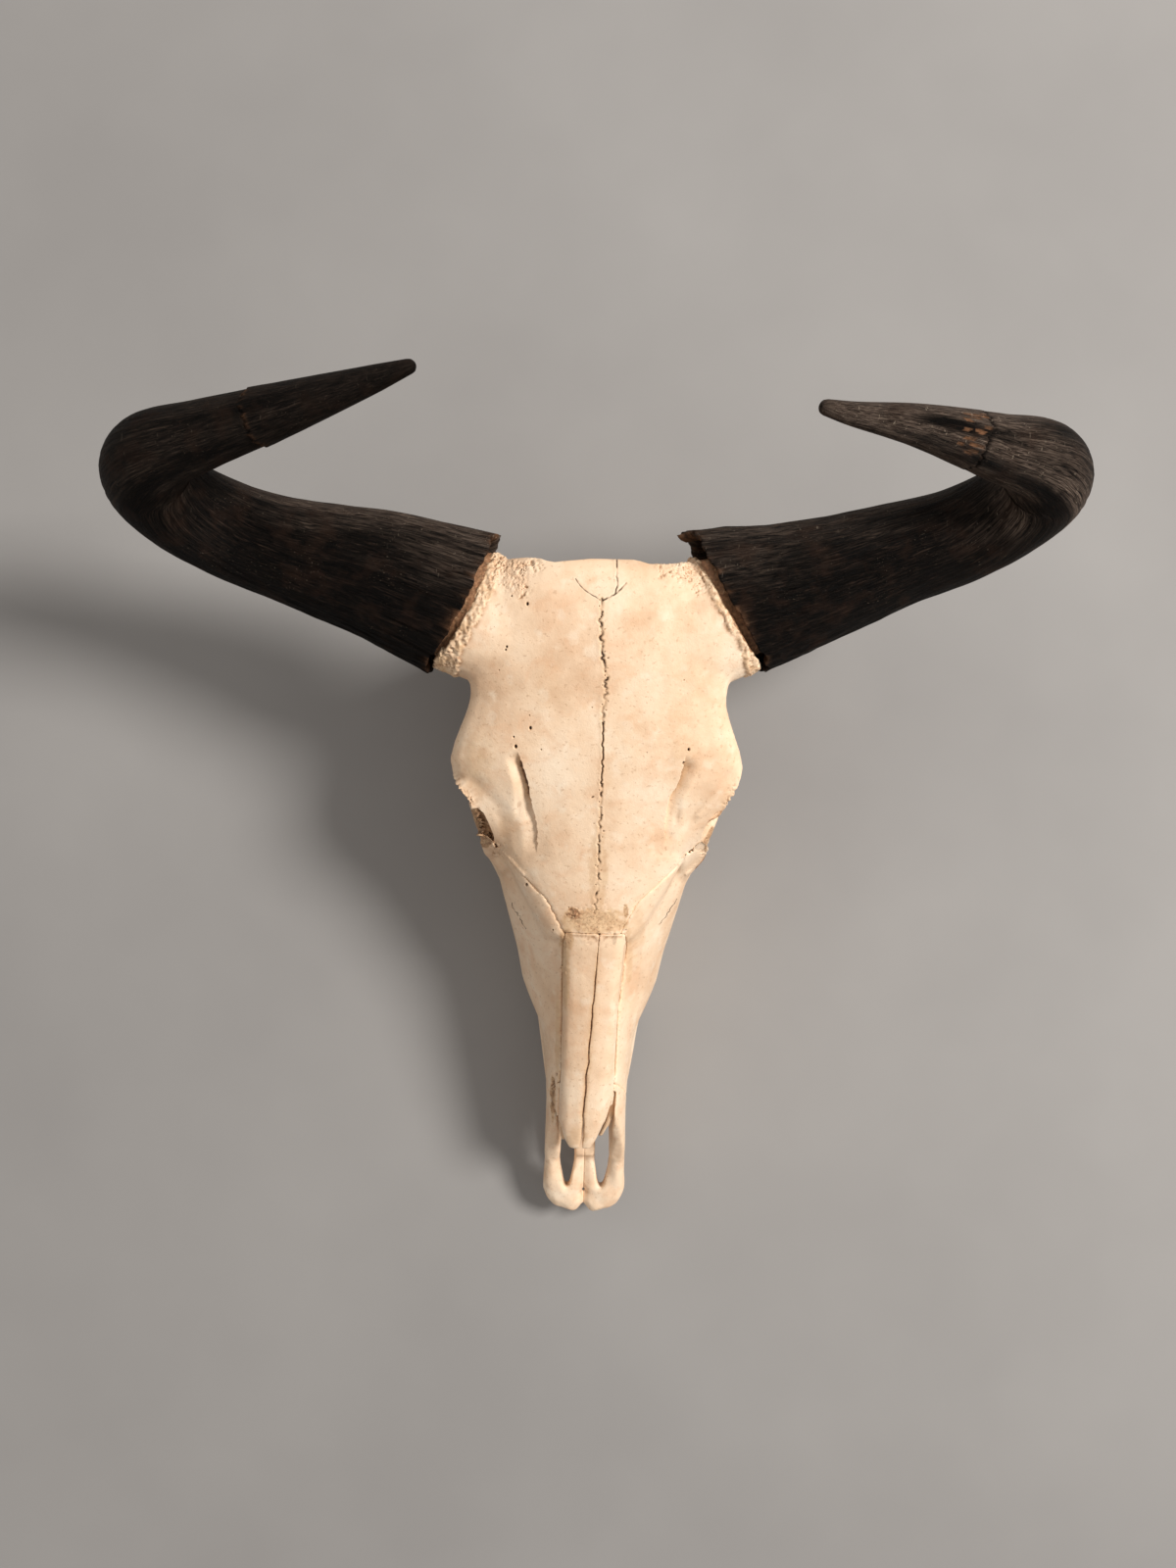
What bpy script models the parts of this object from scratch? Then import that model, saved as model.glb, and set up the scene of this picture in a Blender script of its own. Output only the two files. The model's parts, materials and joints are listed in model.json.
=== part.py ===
"""Life-size skull of a blue wildebeest with its horn sheaths and without its lower jaw.

Metres, +Z up. The nose points to -Y and the animal's left side is at +X. The skull rests on the
grinding faces of its cheek teeth and on the two processes beside the neck joint.
"""

import math
import random

import bmesh
import bpy
from mathutils import Matrix, Vector

# Driving sizes
GAP = 0.0004  # between two bones at a suture
SUTURE_FLOOR = 0.0145  # depth of the nasal bones below the line of the nose
NASAL_ROOT_Y = -0.0965  # where the nasal bones meet the forehead
NASAL_TIP_Y = -0.2515
NASAL_FREE_Y = -0.2130  # ahead of this the nasal bones stand free of the upper jaws
MUZZLE_FRONT_Y = -0.2700
CREST_Y = 0.1370  # back of the forehead, between the horns
ORBIT_CENTRE = Vector((0.0798, -0.0120, 0.1175))
ORBIT_AXIS = Vector((0.94, -0.33, 0.12)).normalized()
ORBIT_RADIUS = 0.0270
TOOTH_ROW_FRONT_Y = -0.1660
FORAMEN_RADIUS = 0.0125
VOXEL = 0.0021
BONE_TRIANGLES = 7800

# Lines along the skull: each holds (y, value) knots
TOP_LINE = (
    (-0.265, 0.0780), (-0.215, 0.0975), (-0.150, 0.1185), (-0.086, 0.1370),
    (-0.030, 0.1560), (0.030, 0.1750), (0.085, 0.1870), (0.125, 0.1885), (0.150, 0.1760),
)
MUZZLE_HALF = (
    (-0.270, 0.0292), (-0.225, 0.0285), (-0.191, 0.0302), (-0.174, 0.0330), (-0.157, 0.0400),
    (-0.139, 0.0475), (-0.118, 0.0512), (-0.090, 0.0580), (-0.060, 0.0640), (-0.040, 0.0570),
    (-0.015, 0.0330), (0.030, 0.0270),
)
MUZZLE_MIDDLE = (
    (-0.270, 0.0380), (-0.225, 0.0480), (-0.139, 0.0530), (-0.090, 0.0740), (-0.045, 0.0950), (0.030, 0.1000),
)
MUZZLE_BASE = (
    (-0.270, 0.0250), (-0.225, 0.0300), (-0.165, 0.0290), (-0.060, 0.0290), (-0.030, 0.0420), (0.030, 0.0560),
)
MUZZLE_UPPER_POWER = ((-0.270, 2.70), (-0.190, 2.40), (-0.139, 1.65), (-0.090, 1.80), (0.030, 2.20))
ROOF_HALF = (
    (-0.100, 0.0300), (-0.070, 0.0470), (-0.042, 0.0620), (-0.028, 0.0680), (-0.016, 0.0750),
    (-0.005, 0.0850), (0.009, 0.0935), (0.024, 0.0905), (0.037, 0.0850), (0.052, 0.0800), (0.075, 0.0810),
    (0.105, 0.0740), (0.145, 0.0560),
)
ROOF_DROP = ((-0.100, 0.0160), (-0.040, 0.0260), (0.0155, 0.0250), (0.060, 0.0210), (0.095, 0.0170), (0.145, 0.0180))
ROOF_DEPTH = 0.0150  # of the forehead's plate below its own edge
ROOF_POWER = 2.1

# The nasal bones' outer edges and the crack between them, as (y, x) knots. The skull isn't symmetric here
NASAL_EDGE = {
    "left": ((-0.2515, 0.0060), (-0.2380, 0.0110), (-0.2100, 0.0178), (-0.1500, 0.0188), (-0.1060, 0.0230)),
    "right": ((-0.2515, -0.0140), (-0.2380, -0.0178), (-0.2120, -0.0185), (-0.1900, -0.0174), (-0.1060, -0.0182)),
}
NASAL_CRACK = ((NASAL_TIP_Y, -0.0030), (NASAL_ROOT_Y, 0.0050))
CRACK_AT_TIP = 0.0024  # gap between the tips of the nasal bones
# The slit above each eye, as (y, x) knots from back to front
BROW_SLIT = {
    "left": ((0.0150, 0.0545), (-0.0090, 0.0487), (-0.0310, 0.0462)),
    "right": ((0.0170, 0.0480), (-0.0020, 0.0440), (-0.0300, 0.0360)),
}

# The frayed edge of the brow over each eye, as (y, x) knots from front to back
BROW_EDGE = {
    "left": ((-0.0192, 0.0785), (-0.0150, 0.0822), (-0.0087, 0.0857), (-0.0025, 0.0892), (0.0076, 0.0925)),
    "right": ((-0.0190, 0.0742), (-0.0152, 0.0786), (-0.0073, 0.0852), (0.0006, 0.0907), (0.0060, 0.0925)),
}
BROW_TEETH = 9
BROW_NOTCH = 0.0013  # depth of the notches between its teeth

# Horn paths: x away from the middle, y, z, half width along Y, half thickness across it
HORN_PATHS = {
    "right": (
        (0.0873, 0.1105, 0.1560, 0.0477, 0.0315),
        (0.1398, 0.1273, 0.1510, 0.0406, 0.0310),
        (0.1986, 0.1421, 0.1480, 0.0325, 0.0300),
        (0.2330, 0.1525, 0.1530, 0.0302, 0.0288),
        (0.2605, 0.1645, 0.1700, 0.0286, 0.0272),
        (0.2715, 0.1760, 0.1935, 0.0268, 0.0258),
        (0.2590, 0.1840, 0.2130, 0.0235, 0.0235),
        (0.2280, 0.1900, 0.2285, 0.0190, 0.0195),
        (0.1800, 0.1992, 0.2470, 0.0139, 0.0145),
        (0.1253, 0.2081, 0.2740, 0.0072, 0.0075),
        (0.1030, 0.2116, 0.2862, 0.0038, 0.0040),
    ),
    "left": (
        (0.0789, 0.1169, 0.1560, 0.0497, 0.0315),
        (0.1176, 0.1257, 0.1520, 0.0415, 0.0310),
        (0.1860, 0.1498, 0.1480, 0.0325, 0.0300),
        (0.2230, 0.1621, 0.1535, 0.0300, 0.0285),
        (0.2490, 0.1750, 0.1700, 0.0286, 0.0272),
        (0.2610, 0.1865, 0.1940, 0.0268, 0.0256),
        (0.2490, 0.1935, 0.2130, 0.0232, 0.0230),
        (0.2190, 0.1965, 0.2270, 0.0180, 0.0185),
        (0.1719, 0.2010, 0.2460, 0.0115, 0.0120),
        (0.1294, 0.1996, 0.2680, 0.0062, 0.0065),
        (0.1135, 0.1987, 0.2795, 0.0042, 0.0045),
    ),
}
# Middle and outward normal of the rough bone collar that each sheath sits against
COLLARS = {
    "right": (Vector((0.0854, 0.1062, 0.1560)), Vector((0.890, 0.445, -0.080)).normalized()),
    "left": (Vector((0.0783, 0.1077, 0.1560)), Vector((0.850, 0.510, -0.080)).normalized()),
}
COLLAR_HALF = 0.0417
COLLAR_THICK = 0.0298
HORN_SIDES = 18
HORN_RINGS = 39
RIM_BLEND = 5.5  # rings over which the slanted rim turns square to the horn
RIM_JAG = 0.0032  # how far the broken rim of a horn sheath wanders
RIM_BOW = {"left": 0.0062, "right": 0.0092}  # how far the rim reaches towards the forehead on the horn's upper face
CORE_SIDES = 16
CORE_LENGTH = 0.0340  # how far the bone core reaches into the sheath
CORE_SHARE = 0.84  # the core's width as a share of the sheath's
SOCKET_CLEARANCE = 0.0004

# Cheek teeth, from front to back: length along the row, width and lobes
TEETH = (
    (0.0090, 0.0085, 1), (0.0130, 0.0112, 1), (0.0142, 0.0130, 1),
    (0.0180, 0.0158, 2), (0.0212, 0.0170, 2), (0.0208, 0.0160, 2),
)
ROW_X = ((-0.166, 0.0300), (-0.140, 0.0358), (-0.110, 0.0398), (-0.070, 0.0412))
TOOTH_SPACING = 0.0002

BONE = ("bone", (0.86, 0.72, 0.56), 0.62)
HORN = ("horn", (0.060, 0.047, 0.040), 0.60)
SIDES = {"left": 1.0, "right": -1.0}


def clear_scene():
    for obj in list(bpy.data.objects):
        bpy.data.objects.remove(obj, do_unlink=True)


def material(name, colour, roughness):
    made = bpy.data.materials.get(name) or bpy.data.materials.new(name)
    made.use_nodes = True
    shader = made.node_tree.nodes["Principled BSDF"]
    shader.inputs["Base Color"].default_value = (*colour, 1.0)
    shader.inputs["Roughness"].default_value = roughness
    shader.inputs["Metallic"].default_value = 0.0
    return made


def spline(knots, at):
    """Value at the first number of each knot, on a curve that eases through all knots."""
    i = 0
    while i < len(knots) - 2 and at > knots[i + 1][0]:
        i += 1
    (x0, v0), (x1, v1) = knots[i], knots[i + 1]
    before = knots[i - 1] if i else (2 * x0 - x1, 2 * v0 - v1)
    after = knots[i + 2] if i + 2 < len(knots) else (2 * x1 - x0, 2 * v1 - v0)
    slope0 = (v1 - before[1]) / (x1 - before[0])
    slope1 = (after[1] - v0) / (after[0] - x0)
    span = x1 - x0
    t = min(max((at - x0) / span, 0.0), 1.0)
    return (
        (2 * t**3 - 3 * t**2 + 1) * v0
        + (t**3 - 2 * t**2 + t) * span * slope0
        + (3 * t**2 - 2 * t**3) * v1
        + (t**3 - t**2) * span * slope1
    )


def spread_spline(rows, count):
    """Rows of numbers, each spaced evenly by its first three as a point, eased to count rows."""
    marks = [0.0]
    for a, b in zip(rows, rows[1:]):
        marks.append(marks[-1] + (Vector(b[:3]) - Vector(a[:3])).length)
    columns = [tuple(zip(marks, values)) for values in zip(*rows)]
    steps = [marks[-1] * k / (count - 1) for k in range(count)]
    return [[spline(column, at) for column in columns] for at in steps]


def mesh_object(name, points, faces):
    mesh = bpy.data.meshes.new(name)
    mesh.from_pydata([tuple(p) for p in points], [], faces)
    form = bmesh.new()
    form.from_mesh(mesh)
    bmesh.ops.recalc_face_normals(form, faces=form.faces)
    form.to_mesh(mesh)
    form.free()
    obj = bpy.data.objects.new(name, mesh)
    bpy.context.scene.collection.objects.link(obj)
    return obj


def loft(name, rings):
    """Closed body through rings of equally many points, with a fan of faces on each end."""
    sides = len(rings[0])
    points = [p for ring in rings for p in ring]
    faces = []
    for r in range(len(rings) - 1):
        for k in range(sides):
            a, b = r * sides + k, r * sides + (k + 1) % sides
            faces.append((a, b, b + sides, a + sides))
    for first, ring in ((0, rings[0]), ((len(rings) - 1) * sides, rings[-1])):
        points.append(sum((Vector(p) for p in ring), Vector()) / sides)
        hub = len(points) - 1
        faces += [(first + k, first + (k + 1) % sides, hub) for k in range(sides)]
    return mesh_object(name, points, faces)


def superellipse(half, middle, top, base, upper, lower, sides):
    """(x, z) points of a section that is widest at middle, with its own power above and below."""
    points = []
    for k in range(sides):
        c, s = math.cos(math.tau * k / sides), math.sin(math.tau * k / sides)
        power = 2 / (upper if s >= 0 else lower)
        reach = top - middle if s >= 0 else middle - base
        x = math.copysign(abs(c) ** power, c) * half
        points.append((x, middle + math.copysign(abs(s) ** power, s) * reach))
    return points


def sweep(name, rows, across, sides=16, count=14, rounded=0.6):
    """Tube through rows of (x, y, z, radius along the across direction, radius square to it).

    Both ends close in a dome as long as rounded times the end's smaller radius.
    """
    rows = spread_spline(rows, count)
    middles = [Vector(r[:3]) for r in rows]
    rings = []
    for k, row in enumerate(rows):
        along = (middles[min(k + 1, count - 1)] - middles[max(k - 1, 0)]).normalized()
        side = (across - along * across.dot(along)).normalized()
        rings.append((middles[k], along, side, along.cross(side), row[3], row[4]))

    def ring(form, shift=0.0, share=1.0):
        middle, along, side, rise, wide, thick = form
        turn = [math.tau * k / sides for k in range(sides)]
        return [
            middle + along * shift + (side * wide * math.cos(t) + rise * thick * math.sin(t)) * share
            for t in turn
        ]

    dome = [(math.sin(a), math.cos(a)) for a in (math.radians(65), math.radians(35))]
    start, end = rings[0], rings[-1]
    made = [ring(start, -rounded * min(start[4:]) * s, c) for s, c in dome]
    made += [ring(form) for form in rings]
    made += [ring(end, rounded * min(end[4:]) * s, c) for s, c in reversed(dome)]
    return loft(name, made)


def ellipsoid(name, centre, radii, turn=(0.0, 0.0, 0.0)):
    mesh = bpy.data.meshes.new(name)
    form = bmesh.new()
    place = Matrix.Translation(Vector(centre))
    for axis, angle in zip("ZYX", reversed(turn)):
        place = place @ Matrix.Rotation(math.radians(angle), 4, axis)
    place = place @ Matrix.Diagonal((*radii, 1.0))
    bmesh.ops.create_icosphere(form, subdivisions=3, radius=1.0, matrix=place)
    form.to_mesh(mesh)
    form.free()
    obj = bpy.data.objects.new(name, mesh)
    bpy.context.scene.collection.objects.link(obj)
    return obj


def prism(name, outline, low, high):
    """Upright prism over an outline of (x, y) points. low and high are heights or functions of y."""
    heights = [h if callable(h) else (lambda _, h=h: h) for h in (low, high)]
    return loft(name, [[Vector((x, y, h(y))) for x, y in outline] for h in heights])


def block(name, point, outward, reach=1.2):
    """Big cube with one face through point. Its outward side is left free."""
    outward = Vector(outward).normalized()
    turn = outward.to_track_quat("Z", "Y").to_matrix().to_4x4()
    place = Matrix.Translation(Vector(point) - outward * reach / 2) @ turn
    mesh = bpy.data.meshes.new(name)
    form = bmesh.new()
    bmesh.ops.create_cube(form, size=reach, matrix=place)
    form.to_mesh(mesh)
    form.free()
    obj = bpy.data.objects.new(name, mesh)
    bpy.context.scene.collection.objects.link(obj)
    return obj


def settle(obj):
    """The object's modifiers made part of its mesh."""
    bpy.context.view_layer.update()
    graph = bpy.context.evaluated_depsgraph_get()
    mesh = bpy.data.meshes.new_from_object(obj.evaluated_get(graph))
    obj.modifiers.clear()
    obj.data = mesh
    return obj


def boolean(obj, others, operation):
    """One Boolean of the object with a collection of closed bodies, which are then removed."""
    group = bpy.data.collections.new("others")
    for other in others:
        group.objects.link(other)
    bpy.context.scene.collection.children.link(group)
    modifier = obj.modifiers.new("join", "BOOLEAN")
    modifier.operation = operation
    modifier.operand_type = "COLLECTION"
    modifier.collection = group
    modifier.solver = "MANIFOLD"
    settle(obj)
    for other in others:
        bpy.data.objects.remove(other, do_unlink=True)
    bpy.data.collections.remove(group)
    return obj


def copy_of(obj, name):
    twin = bpy.data.objects.new(name, obj.data.copy())
    bpy.context.scene.collection.objects.link(twin)
    return twin


def keep_largest(obj):
    """Only the largest closed surface of the object stays."""
    form = bmesh.new()
    form.from_mesh(obj.data)
    left, shells = set(form.faces), []
    while left:
        shell, edge = set(), [next(iter(left))]
        while edge:
            face = edge.pop()
            if face in shell:
                continue
            shell.add(face)
            edge += [other for e in face.edges for other in e.link_faces if other not in shell]
        left -= shell
        shells.append(shell)
    shells.sort(key=lambda s: sum(f.calc_area() for f in s))
    loose = [f for shell in shells[:-1] for f in shell]
    bmesh.ops.delete(form, geom=loose, context="FACES")
    form.to_mesh(obj.data)
    form.free()
    return obj


def finish(obj, name, look):
    obj.name = name
    obj.data.name = name
    obj.data.materials.clear()
    obj.data.materials.append(material(*look))
    obj.data.shade_smooth()
    obj.data.set_sharp_from_angle(angle=math.radians(40))
    return obj


def both(make):
    """What make(sign) returns for the left and for the right side, as one list."""
    return [piece for sign in SIDES.values() for piece in make(sign)]


def muzzle():
    """The long face from the lips back to the eye sockets, cut on a slant at the nose opening."""
    count, rear = 26, 0.03
    rings = []
    for k in range(count):
        y = MUZZLE_FRONT_Y + (rear - MUZZLE_FRONT_Y) * k / (count - 1)
        section = superellipse(
            spline(MUZZLE_HALF, y), spline(MUZZLE_MIDDLE, y), spline(TOP_LINE, y) - 0.002,
            spline(MUZZLE_BASE, y), spline(MUZZLE_UPPER_POWER, y), 3.0, 32,
        )
        rings.append([Vector((x, y, z)) for x, z in section])
    face = loft("muzzle", rings)
    opening = block("opening", (0, -0.2120, 0.0980), (0, 0.681, -0.732))
    return [boolean(face, [opening], "DIFFERENCE")]


def roof():
    """The forehead, from the nose root to the crest between the horns."""
    front, count = -0.100, 26
    rings = []
    for k in range(count):
        y = front + (CREST_Y - front) * k / (count - 1)
        top = spline(TOP_LINE, y)
        middle = top - spline(ROOF_DROP, y)
        section = superellipse(spline(ROOF_HALF, y), middle, top, middle - ROOF_DEPTH, ROOF_POWER, 1.9, 32)
        rings.append([Vector((x, y, z)) for x, z in section])
    return [loft("roof", rings)]


def roof_height(x, y):
    """Height of the forehead's surface."""
    share = min(abs(x) / spline(ROOF_HALF, y), 1.0)
    fall = 1 - (1 - share**ROOF_POWER) ** (1 / ROOF_POWER)
    return spline(TOP_LINE, y) - spline(ROOF_DROP, y) * fall


def nasal_ridges(sign):
    """One nasal bone: a long rounded strip that overhangs the nose opening."""
    edge = NASAL_EDGE["left" if sign > 0 else "right"]
    rings = []
    steps = (
        (NASAL_TIP_Y, 0.44, 0.0040), (-0.2490, 0.66, 0.0080), (-0.2420, 0.86, 0.0120), (-0.2300, 1.0, 0.0145),
        (-0.1500, 1.0, 0.0150), (-0.0950, 1.0, 0.0150),
    )
    for y, share, depth in steps:
        outer, crack = spline(edge, y), spline(NASAL_CRACK, y)
        middle, half = (outer + crack) / 2, (outer - crack) / 2
        outer, crack = middle + half * share, middle - half * share - sign * 0.0006
        top = spline(TOP_LINE, y) + 0.0010
        ring = []
        for k in range(9):
            c, s = math.sin(math.pi / 2 * k / 8), math.cos(math.pi / 2 * k / 8)
            ring.append(Vector((crack + (outer - crack) * c ** (2 / 2.5), y, top - depth * 0.6 * (1 - s ** (2 / 2.5)))))
        ring.append(Vector((crack + (outer - crack) * 0.8, y, top - depth)))
        ring.append(Vector((crack, y, top - depth)))
        rings.append(ring)
    return [loft("nasal", rings)]


def premaxilla(sign):
    """The toothless front of the upper jaw: a plate with an outer and an inner branch."""
    plate = ellipsoid("plate", (sign * 0.0156, -0.2915, 0.0265), (0.0150, 0.0212, 0.0080), (9, 0, 0))
    knob = ellipsoid("knob", (sign * 0.0086, -0.3045, 0.0250), (0.0083, 0.0107, 0.0064), (9, 0, 0))
    outer = sweep(
        "outer",
        (
            (sign * 0.0232, -0.2900, 0.0280, 0.0065, 0.0070),
            (sign * 0.0236, -0.2680, 0.0350, 0.0056, 0.0090),
            (sign * 0.0236, -0.2450, 0.0430, 0.0052, 0.0120),
            (sign * 0.0240, -0.2200, 0.0520, 0.0045, 0.0140),
        ),
        Vector((1, 0, 0)),
    )
    inner = sweep(
        "inner",
        (
            (sign * 0.0058, -0.2950, 0.0270, 0.0052, 0.0060),
            (sign * 0.0040, -0.2700, 0.0295, 0.0038, 0.0042),
            (sign * 0.0040, -0.2380, 0.0340, 0.0036, 0.0040),
            (sign * 0.0040, -0.2100, 0.0370, 0.0040, 0.0045),
        ),
        Vector((1, 0, 0)),
    )
    return [plate, knob, outer, inner]


def tooth_ridge(sign):
    """The bone that holds one row of cheek teeth, with the bulge of their roots on the cheek."""
    ys = (-0.215, -0.188, -0.165, -0.130, -0.100, -0.066, -0.048)
    halves = (0.0030, 0.0045, 0.0070, 0.0095, 0.0105, 0.0095, 0.0070)
    depths = (0.0040, 0.0110, 0.0180, 0.0190, 0.0190, 0.0190, 0.0150)
    rows = [
        (sign * max(spline(ROW_X, max(y, -0.180)) + 0.1 * min(y + 0.180, 0.0), 0.0240), y, 0.0400, half, depth)
        for y, half, depth in zip(ys, halves, depths)
    ]
    return [sweep("ridge", rows, Vector((1, 0, 0)), count=18)]


def eye_socket(sign):
    """The tube round one eye, its raised rim with a gap at the upper front, the bar behind it and the cheek arch."""
    centre = Vector((sign * ORBIT_CENTRE.x, ORBIT_CENTRE.y, ORBIT_CENTRE.z))
    axis = Vector((sign * ORBIT_AXIS.x, ORBIT_AXIS.y, ORBIT_AXIS.z))
    rows = [
        (*(centre - axis * depth), radius, radius)
        for depth, radius in ((0.038, 0.0190), (0.020, 0.0262), (0.008, 0.0296), (0.0, 0.0305))
    ]
    tube = sweep("tube", rows, Vector((0, 0, 1)), sides=24, count=8, rounded=0.05)
    up = Vector((0, 0, 1)) - axis * axis.z
    up.normalize()
    ahead = axis.cross(up)
    ring = []
    for k in range(28):
        if 2 <= k <= 5:
            continue
        turn = math.tau * k / 28
        spot = centre + (up * math.cos(turn) + ahead * math.sin(turn)) * (ORBIT_RADIUS + 0.0022)
        ring.append(ellipsoid("rim", spot, (0.0045, 0.0045, 0.0045)))
    arch = sweep(
        "arch",
        (
            (sign * 0.0500, -0.0800, 0.0690, 0.0070, 0.0120),
            (sign * 0.0625, -0.0570, 0.0770, 0.0060, 0.0125),
            (sign * 0.0715, -0.0400, 0.0820, 0.0055, 0.0120),
            (sign * 0.0795, -0.0150, 0.0855, 0.0056, 0.0105),
            (sign * 0.0815, 0.0150, 0.0860, 0.0052, 0.0085),
            (sign * 0.0765, 0.0480, 0.0840, 0.0050, 0.0072),
            (sign * 0.0610, 0.0810, 0.0800, 0.0070, 0.0070),
        ),
        Vector((1, 0, 0)),
    )
    bar = sweep(
        "bar",
        (
            (sign * 0.0830, 0.0170, 0.1480, 0.0060, 0.0050),
            (sign * 0.0850, 0.0205, 0.1200, 0.0048, 0.0040),
            (sign * 0.0805, 0.0160, 0.0870, 0.0080, 0.0042),
        ),
        Vector((0, 1, 0)),
    )
    tear_bone = ellipsoid("tear_bone", (sign * 0.0575, -0.0460, 0.0980), (0.0130, 0.0170, 0.0240), (-10, 0, 0))
    tear_knob = ellipsoid("tear_knob", (sign * 0.0670, -0.0440, 0.1010), (0.0075, 0.0080, 0.0165), (-14, 0, 0))
    return [tube, arch, bar, tear_bone, tear_knob, *ring]


def braincase():
    """The walls round the brain, the base of the skull and the back that the neck meets."""
    case = ellipsoid("case", (0, 0.078, 0.116), (0.0470, 0.0600, 0.0560))
    back = ellipsoid("back", (0, 0.113, 0.098), (0.0620, 0.0220, 0.0540), (12, 0, 0))
    keel = sweep(
        "keel",
        (
            (0, -0.0300, 0.0740, 0.0230, 0.0200),
            (0, 0.0300, 0.0660, 0.0210, 0.0160),
            (0, 0.0850, 0.0560, 0.0180, 0.0140),
            (0, 0.1230, 0.0480, 0.0240, 0.0140),
        ),
        Vector((1, 0, 0)),
    )
    crest = sweep(
        "crest",
        (
            (-0.0610, 0.1010, 0.0780, 0.0070, 0.0080),
            (-0.0540, 0.1190, 0.1120, 0.0060, 0.0070),
            (0, 0.1350, 0.1420, 0.0080, 0.0090),
            (0.0540, 0.1190, 0.1120, 0.0060, 0.0070),
            (0.0610, 0.1010, 0.0780, 0.0070, 0.0080),
        ),
        Vector((0, 1, 0)), count=20,
    )
    slope = sweep(
        "slope",
        (
            (0, 0.1130, 0.1740, 0.0520, 0.0130),
            (0, 0.1210, 0.1520, 0.0500, 0.0150),
            (0, 0.1210, 0.1280, 0.0480, 0.0150),
        ),
        Vector((1, 0, 0)), sides=20,
    )
    return [case, back, keel, crest, slope]


def skull_base(sign):
    """Neck knuckle, foot process, ear bulb, ear tube, jaw socket and wing plate of one side."""
    knuckle = ellipsoid("knuckle", (sign * 0.0190, 0.1320, 0.0465), (0.0130, 0.0155, 0.0225), (-20, sign * 10, sign * 24))
    process = sweep(
        "process",
        (
            (sign * 0.0520, 0.1060, 0.0780, 0.0110, 0.0190),
            (sign * 0.0480, 0.1100, 0.0480, 0.0072, 0.0150),
            (sign * 0.0430, 0.1080, 0.0200, 0.0058, 0.0110),
            (sign * 0.0390, 0.1040, -0.0030, 0.0052, 0.0085),
        ),
        Vector((1, 0, 0)),
    )
    web = ellipsoid("web", (sign * 0.0330, 0.1150, 0.0540), (0.0180, 0.0090, 0.0170))
    bulb = ellipsoid("bulb", (sign * 0.0300, 0.0830, 0.0440), (0.0100, 0.0160, 0.0150), (0, sign * 12, 0))
    ear = sweep(
        "ear",
        ((sign * 0.0400, 0.0880, 0.0740, 0.0120, 0.0120), (sign * 0.0630, 0.0880, 0.0840, 0.0095, 0.0095)),
        Vector((0, 1, 0)), count=6, rounded=0.2,
    )
    hinge = ellipsoid("hinge", (sign * 0.0500, 0.0630, 0.0750), (0.0185, 0.0130, 0.0080))
    wing = sweep(
        "wing",
        (
            (sign * 0.0290, -0.0560, 0.0420, 0.0052, 0.0180),
            (sign * 0.0210, -0.0300, 0.0480, 0.0038, 0.0190),
            (sign * 0.0165, 0.0100, 0.0520, 0.0034, 0.0160),
            (sign * 0.0165, 0.0280, 0.0600, 0.0034, 0.0120),
        ),
        Vector((1, 0, 0)),
    )
    return [knuckle, process, web, bulb, ear, hinge, wing]


def horn_base(sign):
    """The forehead's stump under one horn, which ends in the rough collar round the horn core."""
    middle, outward = COLLARS["left" if sign > 0 else "right"]
    rows = []
    for reach, share, thick in ((-0.048, 0.82, 0.0230), (-0.020, 0.91, 0.0270), (0.010, 1.0, COLLAR_THICK)):
        spot = middle + outward * reach
        rows.append((sign * spot.x, spot.y, spot.z, COLLAR_HALF * share, thick))
    return [sweep("base", rows, Vector((0, 1, 0)), sides=28, count=9, rounded=0.08)]


def core_stub(side, grow):
    """The bone core of one horn, made grow larger all round."""
    sign = SIDES[side]
    rows = spread_spline(HORN_PATHS[side], 60)
    start = Vector(rows[0][:3])
    begin = start - (Vector(rows[2][:3]) - start).normalized() * 0.014
    wide, thick = (rows[0][k] * CORE_SHARE - 0.0040 * (k == 3) + grow for k in (3, 4))
    made = [(sign * begin.x, begin.y, begin.z, wide, thick)]
    kept = [r for r in rows if (Vector(r[:3]) - start).length < CORE_LENGTH]
    for k in (0, len(kept) // 2, len(kept) - 1):
        x, y, z, wide, thick = kept[k]
        share = CORE_SHARE * (1 - 0.10 * k / len(kept))
        made.append((sign * x, y, z, wide * share - 0.0040 * (k == 0) + grow, thick * share + grow))
    made[-1] = (made[-1][0] + sign * 2 * grow, *made[-1][1:])
    return sweep("core", made, Vector((0, 1, 0)), sides=CORE_SIDES, count=6, rounded=0.25)


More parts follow.
